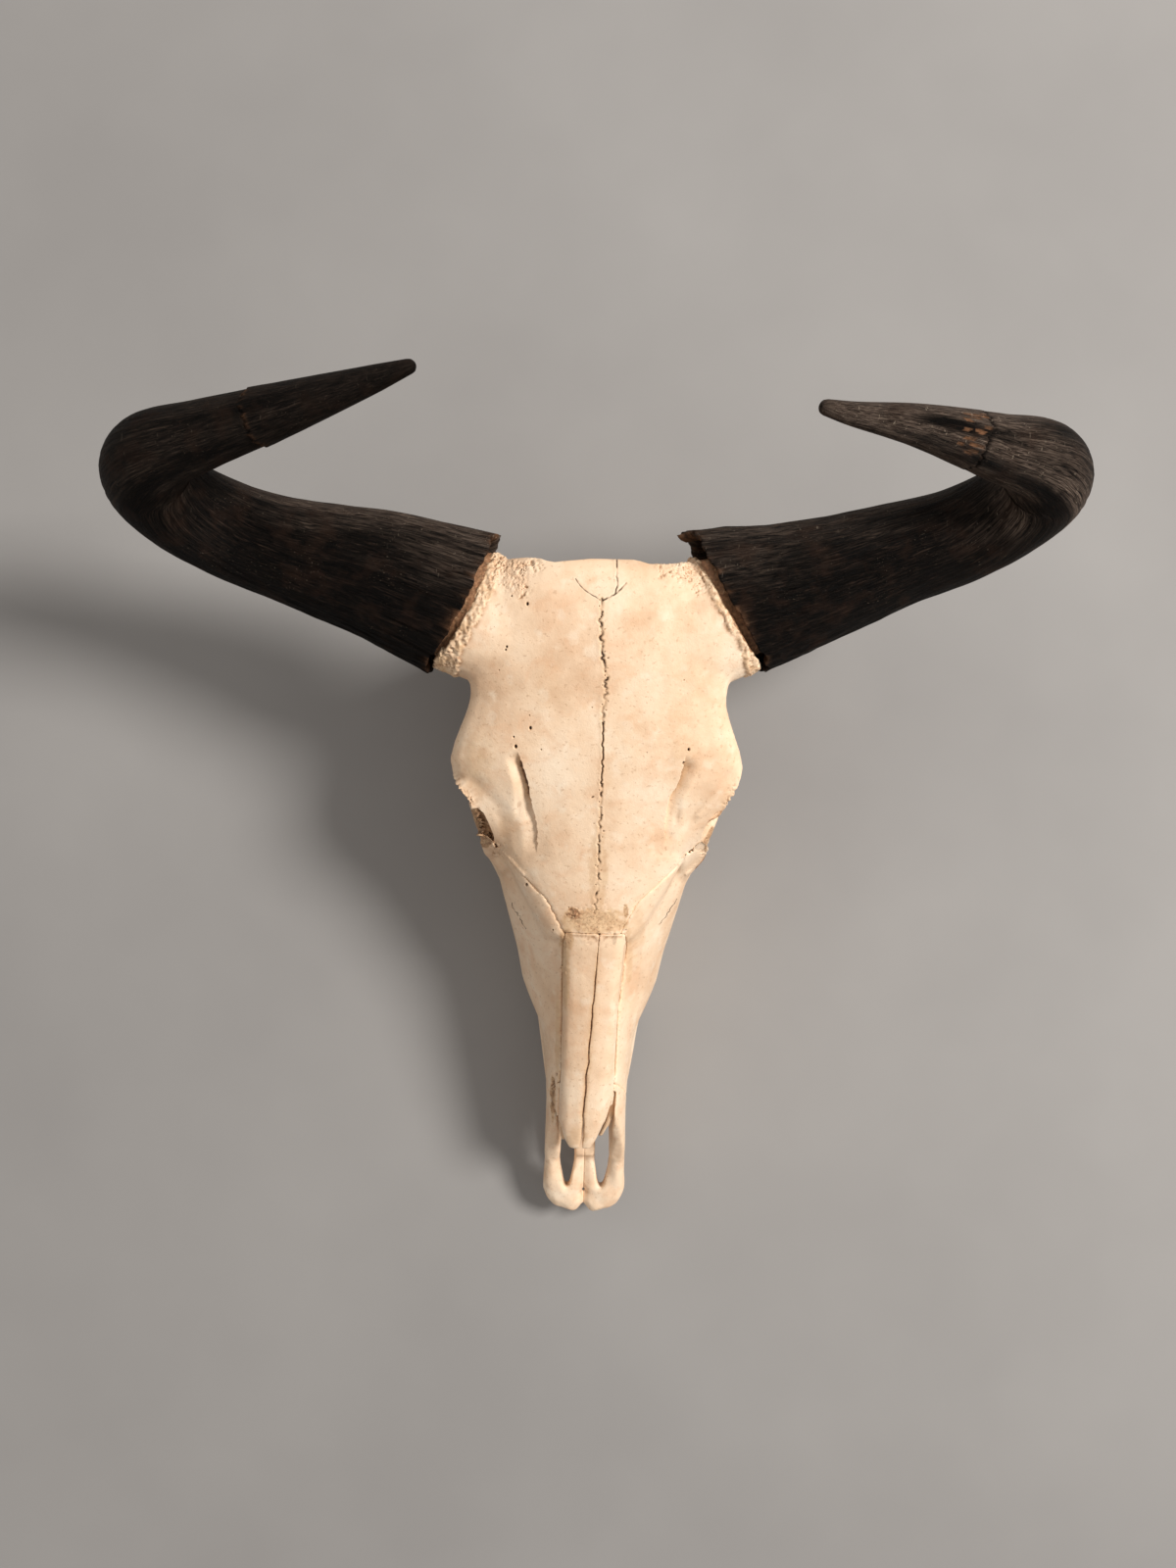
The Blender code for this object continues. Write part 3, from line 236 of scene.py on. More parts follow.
# Rough patches of the bone: pixel, radius in pixels and depth of the roughness in metres
ROUGH_PATCHES = (
    (522, 586, 22, 0.0009), (545, 577, 14, 0.0008), (533, 604, 12, 0.0006), (509, 572, 10, 0.0012),
    (700, 584, 17, 0.0011), (680, 580, 14, 0.0009), (712, 600, 10, 0.0008), (470, 806, 6, 0.0009),
    (479, 818, 7, 0.0009), (488, 829, 4, 0.0009), (750, 806, 7, 0.0009), (743, 820, 7, 0.0009),
    (735, 831, 5, 0.0009), (506, 864, 10, 0.0007), (720, 868, 6, 0.0005), (584, 931, 7, 0.0008),
    (638, 930, 4, 0.0005), (611, 941, 30, 0.0003), (576, 990, 5, 0.0005),
)
# Where the rough burr begins and ends short of each horn's rim, and how much wider it flares at its front
BURRS = {"right": (-0.0130, -0.0046, 0.0065), "left": (-0.0094, -0.0056, 0.0040)}
# Tan places of the bone: pixel, half width and half height in pixels, and strength. Below 0 it is dark. The
# broad one at (484, 778) is painted shade on the right brow, which turns away from the light
STAINS_AND_SHADE = (
    (609, 940, 37, 15, 0.60), (585, 932, 9, 8, 0.70), (639, 930, 3, 9, 0.64), (564, 1120, 3, 26, 0.66),
    (577, 990, 5, 44, 0.52), (578, 958, 8, 14, 0.60), (589, 1160, 12, 12, 0.35), (610, 890, 10, 50, 0.36),
    # The third place on this row is painted shade where the right brow turns from the light
    (612, 800, 26, 50, 0.14), (569, 1060, 3, 50, 0.40), (484, 778, 30, 46, 0.36), (520, 880, 30, 40, 0.16),
    (706, 715, 46, 90, 0.24),
    (642, 975, 4, 34, 0.42), (650, 955, 9, 30, 0.24), (661, 1125, 5, 20, 0.20), (470, 812, 14, 14, 0.20),
    (745, 816, 14, 14, 0.16),
    (700, 640, 24, 40, 0.16), (655, 640, 30, 40, 0.16), (560, 700, 26, 40, 0.12), (640, 740, 20, 60, 0.10),
    (520, 850, 12, 26, 0.16), (696, 762, 14, 16, 0.22), (627, 958, 3, 6, -0.8),
)
# Thin inner bones of the nose opening, from back to front: x, y, z and radius
INNER_BONES = {
    "left": (
        (0.0185, -0.2000, 0.0800, 0.0016), (0.0180, -0.2200, 0.0770, 0.0026), (0.0150, -0.2340, 0.0730, 0.0022),
        (0.0105, -0.2450, 0.0680, 0.0012),
    ),
    "right": (
        (-0.0150, -0.2250, 0.0820, 0.0012), (-0.0172, -0.2360, 0.0790, 0.0014),
        (-0.0155, -0.2470, 0.0730, 0.0009),
    ),
}
INNER_BONE_SIDES, INNER_BONE_RINGS = 24, 40
# Cheek teeth from front to back, as in the solids: length along the row, width and lobes
TEETH = (
    (0.0090, 0.0085, 1), (0.0130, 0.0112, 1), (0.0142, 0.0130, 1),
    (0.0180, 0.0158, 2), (0.0212, 0.0170, 2), (0.0208, 0.0160, 2),
)
TOOTH_ROW_FRONT = -0.1660
ROW_X = ((-0.166, 0.0300), (-0.140, 0.0358), (-0.110, 0.0398), (-0.070, 0.0412))
TOOTH_SIDES, TOOTH_LEVELS = ((144, 64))
TOOTH_TOP = 0.036


def clear_start_scene():
    for obj in list(bpy.data.objects):
        if obj.type in ("CAMERA", "LIGHT") or (obj.type == "MESH" and obj.name == "Cube"):
            bpy.data.objects.remove(obj, do_unlink=True)


def new_object(name, mesh):
    obj = bpy.data.objects.new(name, mesh)
    bpy.context.scene.collection.objects.link(obj)
    return obj


def settle(obj):
    """The object's modifiers made part of its mesh."""
    bpy.context.view_layer.update()
    graph = bpy.context.evaluated_depsgraph_get()
    mesh = bpy.data.meshes.new_from_object(obj.evaluated_get(graph))
    obj.modifiers.clear()
    obj.data = mesh
    return obj


def points_of(mesh):
    flat = np.empty(len(mesh.vertices) * 3, np.float32)
    mesh.vertices.foreach_get("co", flat)
    return flat.reshape(-1, 3).astype(float)


def normals_of(mesh):
    flat = np.empty(len(mesh.vertices) * 3, np.float32)
    mesh.vertex_normals.foreach_get("vector", flat)
    return flat.reshape(-1, 3).astype(float)


def move_points(mesh, points):
    mesh.vertices.foreach_set("co", points.astype(np.float32).ravel())
    mesh.update()


def store(mesh, name, values):
    """A number for each vertex, which a material reads by its name."""
    layer = mesh.attributes.new(name, "FLOAT", "POINT")
    layer.data.foreach_set("value", np.clip(values, 0.0, 1.0).astype(np.float32))


def photo_pixels(points):
    """Where the camera sees each point, in pixels of the photograph."""
    c, s = math.cos(CAMERA_TURN), math.sin(CAMERA_TURN)
    x, y = points[:, 0] - SHIFT[0], points[:, 1] - SHIFT[1]
    scale = FOCAL_PIXELS / (CAMERA_HEIGHT - points[:, 2])
    across = (x * c + y * s + CAMERA_ASIDE) * scale
    up = (-x * s + y * c) * scale
    return np.stack((PHOTO_MIDDLE[0] + across, PHOTO_MIDDLE[1] - up), axis=1)


def metres_per_pixel(points):
    return (CAMERA_HEIGHT - points[:, 2]) / FOCAL_PIXELS


CLOUD_PRIMES = (73856093, 19349663, 83492791)


def cloud(points, size, seed):
    """Smooth random value from -1 to 1 at each point, in lumps of about that size."""
    shares, keys = [], []
    for axis, prime in enumerate(CLOUD_PRIMES):
        spot = points[:, axis] / size + 100.0 + 17.31 * seed
        cell = np.floor(spot)
        part = spot - cell
        part = part * part * (3 - 2 * part)
        shares.append((1 - part, part))
        key = cell.astype(np.int64).astype(np.uint32)
        keys.append((key * np.uint32(prime), (key + np.uint32(1)) * np.uint32(prime)))
    start = np.uint32(seed * 2654435761 & 0xFFFFFFFF)
    total = np.zeros(len(points))
    for corner in range(8):
        x, y, z = corner & 1, corner >> 1 & 1, corner >> 2 & 1
        mix = keys[0][x] ^ keys[1][y] ^ keys[2][z] ^ start
        mix = (mix ^ (mix >> np.uint32(13))) * np.uint32(1274126177)
        mix ^= mix >> np.uint32(16)
        share = shares[0][x] * shares[1][y] * shares[2][z]
        total += share * ((mix & np.uint32(0xFFFF)) / 32767.5 - 1)
    return total


def clouds(points, size, seed, octaves=3):
    """Several sizes of cloud added, each half as large and half as strong as the one before."""
    total = sum(cloud(points, size / 2**k, seed + k) / 2**k for k in range(octaves))
    return total / (2 - 0.5 ** (octaves - 1))


def ease(values, low, high):
    """0 at low, 1 at high, smooth between."""
    t = np.clip((values - low) / (high - low), 0.0, 1.0)
    return t * t * (3 - 2 * t)


def bell(values, width):
    """1 at 0, fading to either side, almost gone two widths away."""
    return np.exp(-((values / width) ** 2))


def lane_of(values):
    """Points along one axis, for a cloud that changes only along it."""
    return np.stack((values, 0 * values, 0 * values), axis=1)


def spline(knots, at):
    """Value at the first number of each knot, on a curve that eases through all knots."""
    i = 0
    while i < len(knots) - 2 and at > knots[i + 1][0]:
        i += 1
    (x0, v0), (x1, v1) = knots[i], knots[i + 1]
    before = knots[i - 1] if i else (2 * x0 - x1, 2 * v0 - v1)
    after = knots[i + 2] if i + 2 < len(knots) else (2 * x1 - x0, 2 * v1 - v0)
    slope0 = (v1 - before[1]) / (x1 - before[0])
    slope1 = (after[1] - v0) / (after[0] - x0)
    span = x1 - x0
    t = min(max((at - x0) / span, 0.0), 1.0)
    return (
        (2 * t**3 - 3 * t**2 + 1) * v0
        + (t**3 - 2 * t**2 + t) * span * slope0
        + (3 * t**2 - 2 * t**3) * v1
        + (t**3 - t**2) * span * slope1
    )


def spread_spline(rows, count):
    """Rows of numbers, each spaced evenly by its first three as a point, eased to count rows."""
    marks = [0.0]
    for a, b in zip(rows, rows[1:]):
        marks.append(marks[-1] + (Vector(b[:3]) - Vector(a[:3])).length)
    columns = [tuple(zip(marks, values)) for values in zip(*rows)]
    steps = [marks[-1] * k / (count - 1) for k in range(count)]
    return np.array([[spline(column, at) for column in columns] for at in steps]), marks[-1]


def unit(vectors):
    return vectors / np.linalg.norm(vectors, axis=-1, keepdims=True)


def wandering(knots, seed, step=0.8):
    """The line through the knots with a point every pixel or so, which wanders as far as each knot says."""
    knots = np.array(knots, float)
    marks = np.concatenate(((0.0,), np.cumsum(np.linalg.norm(np.diff(knots[:, :2], axis=0), axis=1))))
    at = np.arange(0, marks[-1], step)
    x, y, reach = (np.interp(at, marks, knots[:, k]) for k in range(3))
    slope = np.gradient(np.stack((x, y), axis=1), axis=0)
    side = unit(np.stack((-slope[:, 1], slope[:, 0]), axis=1))
    swing = 0.8 * cloud(lane_of(at), 6.0, seed) + 0.9 * cloud(lane_of(at), 2.4, seed + 1)
    return np.stack((x, y), axis=1) + side * (reach * swing)[:, None]


def distance_to_line(spots, line):
    """Distance of each spot from a line of points, both flat."""
    best = np.full(len(spots), 1e9)
    for a, b in zip(line[:-1], line[1:]):
        along = b - a
        t = np.clip(((spots - a) @ along) / max(along @ along, 1e-12), 0.0, 1.0)
        best = np.minimum(best, np.linalg.norm(spots - a - t[:, None] * along, axis=1))
    return best


def near_lines(spots, lines, reach):
    """Which spots lie within reach of any of the lines."""
    found = np.zeros(len(spots), bool)
    for line in lines:
        low, high = line.min(axis=0) - reach, line.max(axis=0) + reach
        inside = np.nonzero(((spots > low) & (spots < high)).all(axis=1))[0]
        found[inside] |= distance_to_line(spots[inside], line) < reach
    return found


def refine(obj, chosen):
    """Halves the edges whose two ends are both chosen."""
    form = bmesh.new()
    form.from_mesh(obj.data)
    form.verts.ensure_lookup_table()
    edges = [e for e in form.edges if chosen[e.verts[0].index] and chosen[e.verts[1].index]]
    bmesh.ops.subdivide_edges(form, edges=edges, cuts=1, use_grid_fill=True)
    bmesh.ops.triangulate(form, faces=[f for f in form.faces if len(f.verts) > 4])
    form.to_mesh(obj.data)
    form.free()


def weld(obj):
    form = bmesh.new()
    form.from_mesh(obj.data)
    bmesh.ops.remove_doubles(form, verts=form.verts, dist=1e-6)
    form.to_mesh(obj.data)
    form.free()


def mesh_of(form, name):
    """The form as a new mesh, with its faces pointing out."""
    bmesh.ops.recalc_face_normals(form, faces=form.faces)
    mesh = bpy.data.meshes.new(name)
    form.to_mesh(mesh)
    form.free()
    return mesh


def skin(form, rings):
    """Faces between each ring of corners and the next, and one face over each end."""
    count = len(rings[0])
    for a, b in zip(rings[:-1], rings[1:]):
        for k in range(count):
            form.faces.new((a[k], a[(k + 1) % count], b[(k + 1) % count], b[k]))
    form.faces.new(rings[0][::-1])
    form.faces.new(rings[-1])


def weight_group(obj, name, weights):
    """Vertex group with each vertex's weight rounded to one of eleven levels."""
    group = obj.vertex_groups.new(name=name)
    levels = np.round(np.clip(weights, 0, 1) * 10).astype(int)
    for level in range(1, 11):
        group.add(np.nonzero(levels == level)[0].tolist(), level / 10, "REPLACE")


def smooth(obj, rounds, weights=None):
    modifier = obj.modifiers.new("smooth", "SMOOTH")
    modifier.factor = 0.5
    modifier.iterations = rounds
    if weights is not None:
        weight_group(obj, "free", weights)
        modifier.vertex_group = "free"
    settle(obj)
    obj.vertex_groups.clear()


def cut_off_teeth(obj, node):
    """The jaw's own copy without the teeth, which are a piece of their own here."""
    (lx, ly, _), (hx, hy, _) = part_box(node)
    form = bmesh.new()
    place = Matrix.Translation(((lx + hx) / 2, (ly + hy) / 2, GUM_HEIGHT - 0.05))
    bmesh.ops.create_cube(form, size=0.1, matrix=place @ Matrix.Diagonal((3, 5, 1, 1)))
    cutter = new_object("gum", mesh_of(form, "gum"))
    modifier = obj.modifiers.new("cut", "BOOLEAN")
    modifier.operation = "DIFFERENCE"
    modifier.object = cutter
    modifier.solver = "EXACT"
    settle(obj)
    bpy.data.objects.remove(cutter, do_unlink=True)


def rim_bow(side, depth):
    """How far the rim reaches to the forehead, at a depth from -1 on top of the horn to 1 below."""
    return RIM_BOW[side] * np.clip(-depth, 0.0, 1.0) ** 1.5


def short_of_rim(points, side):
    """How far past a horn's rim the points lie, how near its lower front, and which are close to it."""
    sign = np.array((SIDES[side], 1.0, 1.0))
    middle = np.array(COLLARS[side][0]) * sign
    outward = unit(np.array(COLLARS[side][1])) * sign
    rim = np.array(HORN_PATHS[side][0][:3]) * sign
    front = unit(np.array((0.0, 1.0, 0.0)) - outward * outward[1])
    rise = np.cross(front, outward) * SIDES[side]
    away = points - SHIFT - middle
    past = away @ outward - (rim - middle) @ outward + rim_bow(side, (away @ rise) / 0.0300)
    close = np.linalg.norm(away - outward * (away @ outward)[:, None], axis=1) < 0.056
    return past, ease(-(away @ front), 0.018, 0.040), close & (past > -0.030)


def burr_masks(points):
    """The rough burr round each horn core, its crest, and the red-brown band between it and the sheath."""
    burr, crest, band = (np.zeros(len(points)) for _ in range(3))
    ragged = 0.0016 * clouds(points, 0.0060, 31, 2) + 0.0010 * cloud(points, 0.0022, 33)
    for side, (low, high, flare) in BURRS.items():
        past, at_front, close = short_of_rim(points, side)
        start, end = low - flare * at_front + ragged, high + 0.0032 * at_front + 0.9 * ragged
        inner, outer = ease(past - start, -0.0005, 0.0007), ease(past - end, -0.0007, 0.0009)
        burr = np.maximum(burr, inner * (1 - outer) * close)
        crest = np.maximum(crest, bell(past - start - 0.0022, 0.0016) * close)
        band = np.maximum(band, outer * close)
    return burr, crest, band


def nearest_bone(points, node):
    """Distance to the nearest other bone's solid, at most SEAM_REACH, and the spot on it."""
    away, spots = np.full(len(points), SEAM_REACH), points.copy()
    for other in BONES:
        if other == node:
            continue
        low, high = (np.array(corner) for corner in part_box(other))
        near = np.nonzero(((points > low - SEAM_REACH) & (points < high + SEAM_REACH)).all(axis=1))[0]
        for k in near:
            spot, _, _, far = TREES[other].find_nearest(Vector(points[k]), SEAM_REACH)
            if spot is not None and far < away[k]:
                away[k], spots[k] = far, spot
    return away, spots


def suture_pits():
    """Small pits that line the suture of the forehead, as holes."""
    chance = random.Random(5)
    pits = []
    for top, bottom, aside, widest in SUTURE_PITS:
        halves = ("forehead_upper", "forehead_lower")
        line = np.concatenate([np.array(SEAMS[name][0], float) for name in halves])
        y = float(top)
        while y < bottom:
            x = np.interp(y, line[:, 1], line[:, 0]) + chance.gauss(0, 1.7 * aside)
            radius = widest * chance.uniform(0.5, 1.0)
            pits.append((x, y, radius, 1.6 * radius))
            y += chance.uniform(2.0, 6.5)
    return tuple(pits)


def read_numbers(mesh, name):
    values = np.empty(len(mesh.vertices), np.float32)
    mesh.attributes[name].data.foreach_get("value", values)
    mesh.attributes.remove(mesh.attributes[name])
    return values.astype(float)


def jag_crack(obj):
    """Both edges of the split between the nasal bones bent alike, so that it wanders, and how near it is."""
    points = points_of(obj.data)
    (tip_y, tip_x), (root_y, root_x) = NASAL_CRACK
    line = np.interp(points[:, 1] - SHIFT[1], (tip_y, root_y), (tip_x, root_x)) + SHIFT[0]
    lane = lane_of(points[:, 1])
    swing = 0.0010 * cloud(lane, 0.0110, 95) + 0.0005 * cloud(lane, 0.0036, 96)
    store(obj.data, "beside", np.abs(points[:, 0] - line) / SEAM_REACH)
    near = bell(points[:, 0] - line, 0.0050) * ease(-points[:, 1] + SHIFT[1], 0.115, 0.150)
    points[:, 0] += swing * near
    move_points(obj.data, points)


def inside_outline(spots, outline):
    """How far each spot lies inside a closed outline, below 0 outside it."""
    outline = np.array(outline, float)
    closed = np.concatenate((outline, outline[:1]))
    odd = np.zeros(len(spots), bool)
    for (x0, y0), (x1, y1) in zip(closed[:-1], closed[1:]):
        if y0 == y1:
            continue
        crossing = x0 + (spots[:, 1] - y0) * (x1 - x0) / (y1 - y0)
        odd ^= ((spots[:, 1] < y0) != (spots[:, 1] < y1)) & (spots[:, 0] < crossing)
    return distance_to_line(spots, closed) * np.where(odd, 1, -1)


def seen_height(x, y):
    """Height of the solid bone that the camera sees at a pixel, or 0 where it sees the floor."""
    c, s = math.cos(CAMERA_TURN), math.sin(CAMERA_TURN)
    a, b = (x - PHOTO_MIDDLE[0]) / FOCAL_PIXELS, (PHOTO_MIDDLE[1] - y) / FOCAL_PIXELS
    eye = Vector((SHIFT[0] - CAMERA_ASIDE * c, SHIFT[1] - CAMERA_ASIDE * s, CAMERA_HEIGHT))
    way = Vector((c * a - s * b, s * a + c * b, -1.0)).normalized()
    hits = [TREES[bone].ray_cast(eye, way)[0] for bone in BIG_BONES]
    return max([spot.z for spot in hits if spot is not None], default=0.0)


def bulge_terms(spots, middle):
    """The terms of a gently curved surface at each spot."""
    u, v = ((spots - middle) / 20.0).T
    return np.stack((u * 0 + 1, u, v, u * u, u * v, v * v, u * v * v, v**3), axis=1)


def even_out(points, normals, lowest_slope):
    """The points with the solids' small steps beside the slits and brows laid onto gently curved surfaces."""
    seen = photo_pixels(points)
    for knots, bare, reach, full, gone in EVENED:
        line = np.array(knots, float)
        low, high = line.min(axis=0) - reach, line.max(axis=0) + reach
        columns, rows = np.arange(low[0], high[0], 4), np.arange(low[1], high[1], 4)
        grid = np.array([(x, y) for x in columns for y in rows])
        far = distance_to_line(grid, line)
        grid = grid[(far > bare) & (far < reach)]
        heights = np.array([seen_height(x, y) for x, y in grid])
        kept = heights > LOWEST_EVENED
        middle = line.mean(axis=0)
        terms = np.linalg.lstsq(bulge_terms(grid[kept], middle), heights[kept], rcond=None)[0]
        ring = kept & (distance_to_line(grid, line) > gone - 4)
        left_over = heights[ring] - bulge_terms(grid[ring], middle) @ terms
        near = 1 - ease(distance_to_line(seen, line), full, gone)
        near[np.abs(points[:, 2] - bulge_terms(seen, middle) @ terms) > 0.012] = 0
        near[normals[:, 2] < (-2 if bare else lowest_slope)] = 0
        inside = np.nonzero(near)[0]
        wanted = bulge_terms(seen[inside], middle) @ terms
        share, total = np.zeros(len(inside)), np.zeros(len(inside))
        for spot, height in zip(grid[ring], left_over):
            pull = 1 / (((seen[inside] - spot) ** 2).sum(axis=1) + 4.0) ** 2
            share += pull * height
            total += pull
        wanted += share / total
        points[inside, 2] += (wanted - points[inside, 2]) * near[inside]
    return points


def smoothed(obj, away):
    """Points of the bone eased all over, less at its seams and where its edges are crisp."""
    points = points_of(obj.data)
    free = 0.1 + 0.9 * ease(away, 0.0008, 0.0036)
    seen = photo_pixels(points)
    for x, y, radius in CRISP_PLACES:
        far = np.linalg.norm(seen - (x, y), axis=1)
        free *= 1 - 0.72 * (1 - ease(far, radius * 0.7, radius * 1.2)) * (points[:, 2] > 0.10)
    smooth(obj, SMOOTHING, free)
    return points_of(obj.data)


def close_seams(points, away, spots, rows, node):
    """The points beside a seam moved almost half way to the other bone, less far at the nasal bones' tips."""
    shut = (away < SEAM_WIDTH) * SEAM_CLOSING
    if node.startswith("nasal"):
        wide = (away >= SEAM_WIDTH) & (away < 3 * SEAM_WIDTH) & (np.abs(spots[:, 2] - points[:, 2]) < 0.0016)
        shut = np.maximum(shut, SEAM_CLOSING * wide * (1 - 0.6 * ease(rows, 1120, 1165)))
    return points + (spots - points) * shut[:, None]


def trim_crest(points):
    """The crest between the horns moved back behind the rows of pixels above which it doesn't show."""
    seen = photo_pixels(points)
    columns, rows = np.array(CREST_ROWS, float).T
    uneven = 0.3 + 1.3 * ease(np.abs(seen[:, 0] - 610), 25, 60)
    row = np.interp(seen[:, 0], columns, rows) + uneven * clouds(lane_of(seen[:, 0]), 9.0, 105, 2)
    held = (seen[:, 0] > columns[0]) & (seen[:, 0] < columns[-1]) & (points[:, 2] > 0.10)
    points[:, 1] -= 0.9 * np.clip(row - seen[:, 1], 0, None) * metres_per_pixel(points) * held
    return points


def refine_places(obj, node, lines):
    """Finer faces along the seams, edges and ridges, and in the holes and rough places."""
    marks = [((x - 0.1, y), (x + 0.1, y)) for x, y, _, _ in HOLES]
    edges = [*TROUGHS.values(), *RIDGES, *(outline + outline[:1] for outline in SOCKET_WINDOWS)]
    places = list(lines.values()) + [np.array(knots, float) for knots in marks + edges]
    for reach, slightest in REFINEMENTS:
        points = points_of(obj.data)
        seen = photo_pixels(points)
        chosen = near_lines(seen, places, reach) & (normals_of(obj.data)[:, 2] > 0.1) & (points[:, 2] > 0.05)
        if node == "cranium":
            if slightest == 0:
                chosen |= sum(burr_masks(points)) > 0.02
            for x, y, wide, deep in ROUGH_PATCHES:
                if deep > slightest:
                    chosen |= (np.linalg.norm(seen - (x, y), axis=1) < wide) & (points[:, 2] > 0.10)
        if chosen.any():
            refine(obj, chosen)


def bone_piece(node):
    """Fine copy of one bone, smoothed, closed up at its seams, carved and marked for its material."""
    obj = new_object(node + "_bone", frame["nodes"][node].data.copy())
    weld(obj)
    if node.startswith("maxilla"):
        cut_off_teeth(obj, node)
    remesh = obj.modifiers.new("remesh", "REMESH")
    remesh.mode = "VOXEL"
    remesh.voxel_size = VOXEL if node in BIG_BONES else SMALL_BONE_VOXEL
    settle(obj)
    points = points_of(obj.data)
    away, spots = nearest_bone(points, node)
    rows = photo_pixels(points)[:, 1]
    points = close_seams(smoothed(obj, away), away, spots, rows, node)
    if node in BIG_BONES:
        points = even_out(points, normals_of(obj.data), 0.15 if node == "cranium" else -0.4)
    if node == "cranium":
        points = trim_crest(points)
    move_points(obj.data, points)
    store(obj.data, "away", away / SEAM_REACH)
    if node.startswith("nasal"):
        jag_crack(obj)
    lines = {name: wandering(knots, len(name)) for name, (knots, _, _) in SEAMS.items()}
    lines["broken_strip"] = wandering(BROKEN_STRIP[0], 9)
    refine_places(obj, node, lines)
    carve(obj, node, lines)
    return obj


def trough_depth(spots):
    """How deep the trough above each eye is cut, steep and ragged inside and easing out towards the brow, and
    the painted shadow that its inner edge casts into it.
    """
    deep, edge_shade = np.zeros(len(spots)), np.zeros(len(spots))
    for side, knots in TROUGHS.items():
        knots = np.array(knots, float)
        row = spots[:, 1]
        lane = np.stack((row, 0.5 * spots[:, 0], 0 * row), axis=1)
        middle = np.interp(row, knots[:, 1], knots[:, 0])
        edge = middle + 1.0 * cloud(lane, 4.4, 81) + 0.6 * cloud(lane, 2.2, 83)
        out, plain = ((line - spots[:, 0]) * (1 if side == "right" else -1) for line in (edge, middle))
        top, bottom = knots[0, 1], knots[-1, 1]
        length = ease(row, top, top + 16) * (1 - 0.60 * ease(row, top + 50, top + 80))
        length *= 1 - ease(row, bottom - 14, bottom)
        deep = np.maximum(deep, ease(out, -0.6, 0.8) * (1 - ease(plain, 1.0, 16.0)) * length)
        inside = (row > top) & (row < bottom)
        # On the left side the trough's inner wall faces the light, so its painted shadow is weaker and ends
        # sooner
        if side == "left":
            length = 0.75 * length * (1 - 0.85 * ease(row, top + 38, top + 50))
        soft = ease(out, -0.8, 0.8) * bell(np.maximum(out - 1.5, 0), 4.6) * length
        edge_shade = np.maximum(edge_shade, inside * soft * (1 - 0.8 * ease(row, top + 40, top + 66)))
    return deep, edge_shade


def brow_fray(points, spots):
    """Shift of each point by the fine teeth of the brows' frayed edges, and the painted shade between the
    teeth.
    """
    shift, shade = np.zeros(points.shape), np.zeros(len(points))
    for knots, (east, north) in BROW_FRAYS.values():
        line = np.array(knots, float)
        along = unit(line[-1] - line[0])
        far = distance_to_line(spots, line)
        high = points[:, 2] > 0.130
        near = bell(far, 4.5) * high
        away = spots - line[0]
        lane = np.stack((away @ along, 0.2 * (away @ (-along[1], along[0])), 0 * near), axis=1)
        teeth = 0.7 * cloud(lane, 2.9, 101) + 0.8 * cloud(lane, 1.6, 103)
        shift += np.outer(near * teeth * FRAY_REACH, (east, north, 0.0))
        shift[:, 2] += 0.0004 * teeth * bell(far, 9.0) * high
        shade = np.maximum(shade, near * ease(-teeth, 0.15, 0.7))
    return shift, shade


class Relief:
    """A bone while it is carved: how far each point rises, how dark and how tan it is, by its stains and seams
    and by painted shade, and how knobbly it is.
    """

    def __init__(self, mesh):
        self.mesh = mesh
        self.away = read_numbers(mesh, "away") * SEAM_REACH
        self.points, self.normals = points_of(mesh), normals_of(mesh)
        self.spots = photo_pixels(self.points)
        self.up = ease(self.normals[:, 2], 0.05, 0.35)
        self.fine = clouds(self.points, 0.0015, 47, 2)
        self.sponge = clouds(self.points, 0.0026, 41, 2)
        self.pitted = ease(-clouds(self.points, 0.0017, 43, 2), 0.16, 0.50)
        self.height, self.groove, self.stain, self.burr = (np.zeros(len(self.points)) for _ in range(4))

    def darken(self, values, at=slice(None)):
        self.groove[at] = np.maximum(self.groove[at], values)

    def tan(self, values, at=slice(None)):
        self.stain[at] = np.maximum(self.stain[at], values)


def carve_swells(bone):
    """Long soft swells, and the dark, slightly raised seams between bones."""
    bone.height += 0.00025 * clouds(bone.points, 0.030, 3) + 0.00010 * clouds(bone.points, 0.008, 5)
    bone.height += 0.00006 * bell(bone.away, 0.0009)
    bone.darken(0.50 * bell(bone.away, 0.00042) * ease(cloud(bone.points, 0.0045, 57), -0.5, 0.5))


def carve_rough_patches(bone):
    rough = np.zeros(len(bone.points))
    shown = (bone.normals[:, 2] > -0.3) * (bone.points[:, 2] > 0.09)
    for x, y, radius, deep in ROUGH_PATCHES:
        close = np.linalg.norm(bone.spots - (x, y), axis=1) + 5 * clouds(bone.points, 0.005, 9, 2)
        patch = ease(-close, -radius, -radius * 0.5) * shown
        bone.height += patch * deep * (0.6 * bone.sponge + 0.7 * bone.fine - 0.9 * bone.pitted)
        rough = np.maximum(rough, patch)
    # Painted shade in the pits of the rough patches
    bone.darken(rough * bone.pitted * 0.25)


def carve_ridges(bone):
    for knots in RIDGES:
        far = distance_to_line(bone.spots, np.array(knots, float)) + 0.8 * bone.fine
        bone.height += 0.0008 * bell(far, 1.6) * (bone.normals[:, 2] > 0) * (bone.points[:, 2] > 0.09)


def lay_stains_and_shade(bone):
    for x, y, half_wide, half_high, strength in STAINS_AND_SHADE:
        far = np.linalg.norm((bone.spots - (x, y)) / (half_wide, half_high), axis=1)
        far += 0.30 * clouds(bone.points, 0.006, 55, 2) + 0.16 * cloud(bone.points, 0.0018, 58)
        soft = 0.10 if min(half_wide, half_high) > 22 else 0.72
        patch = (1 - ease(far, soft, 1.04)) * (bone.normals[:, 2] > 0) * (bone.points[:, 2] > 0.06)
        bone.tan(strength * patch)
        if strength < 0:
            bone.darken(0.30 * patch)


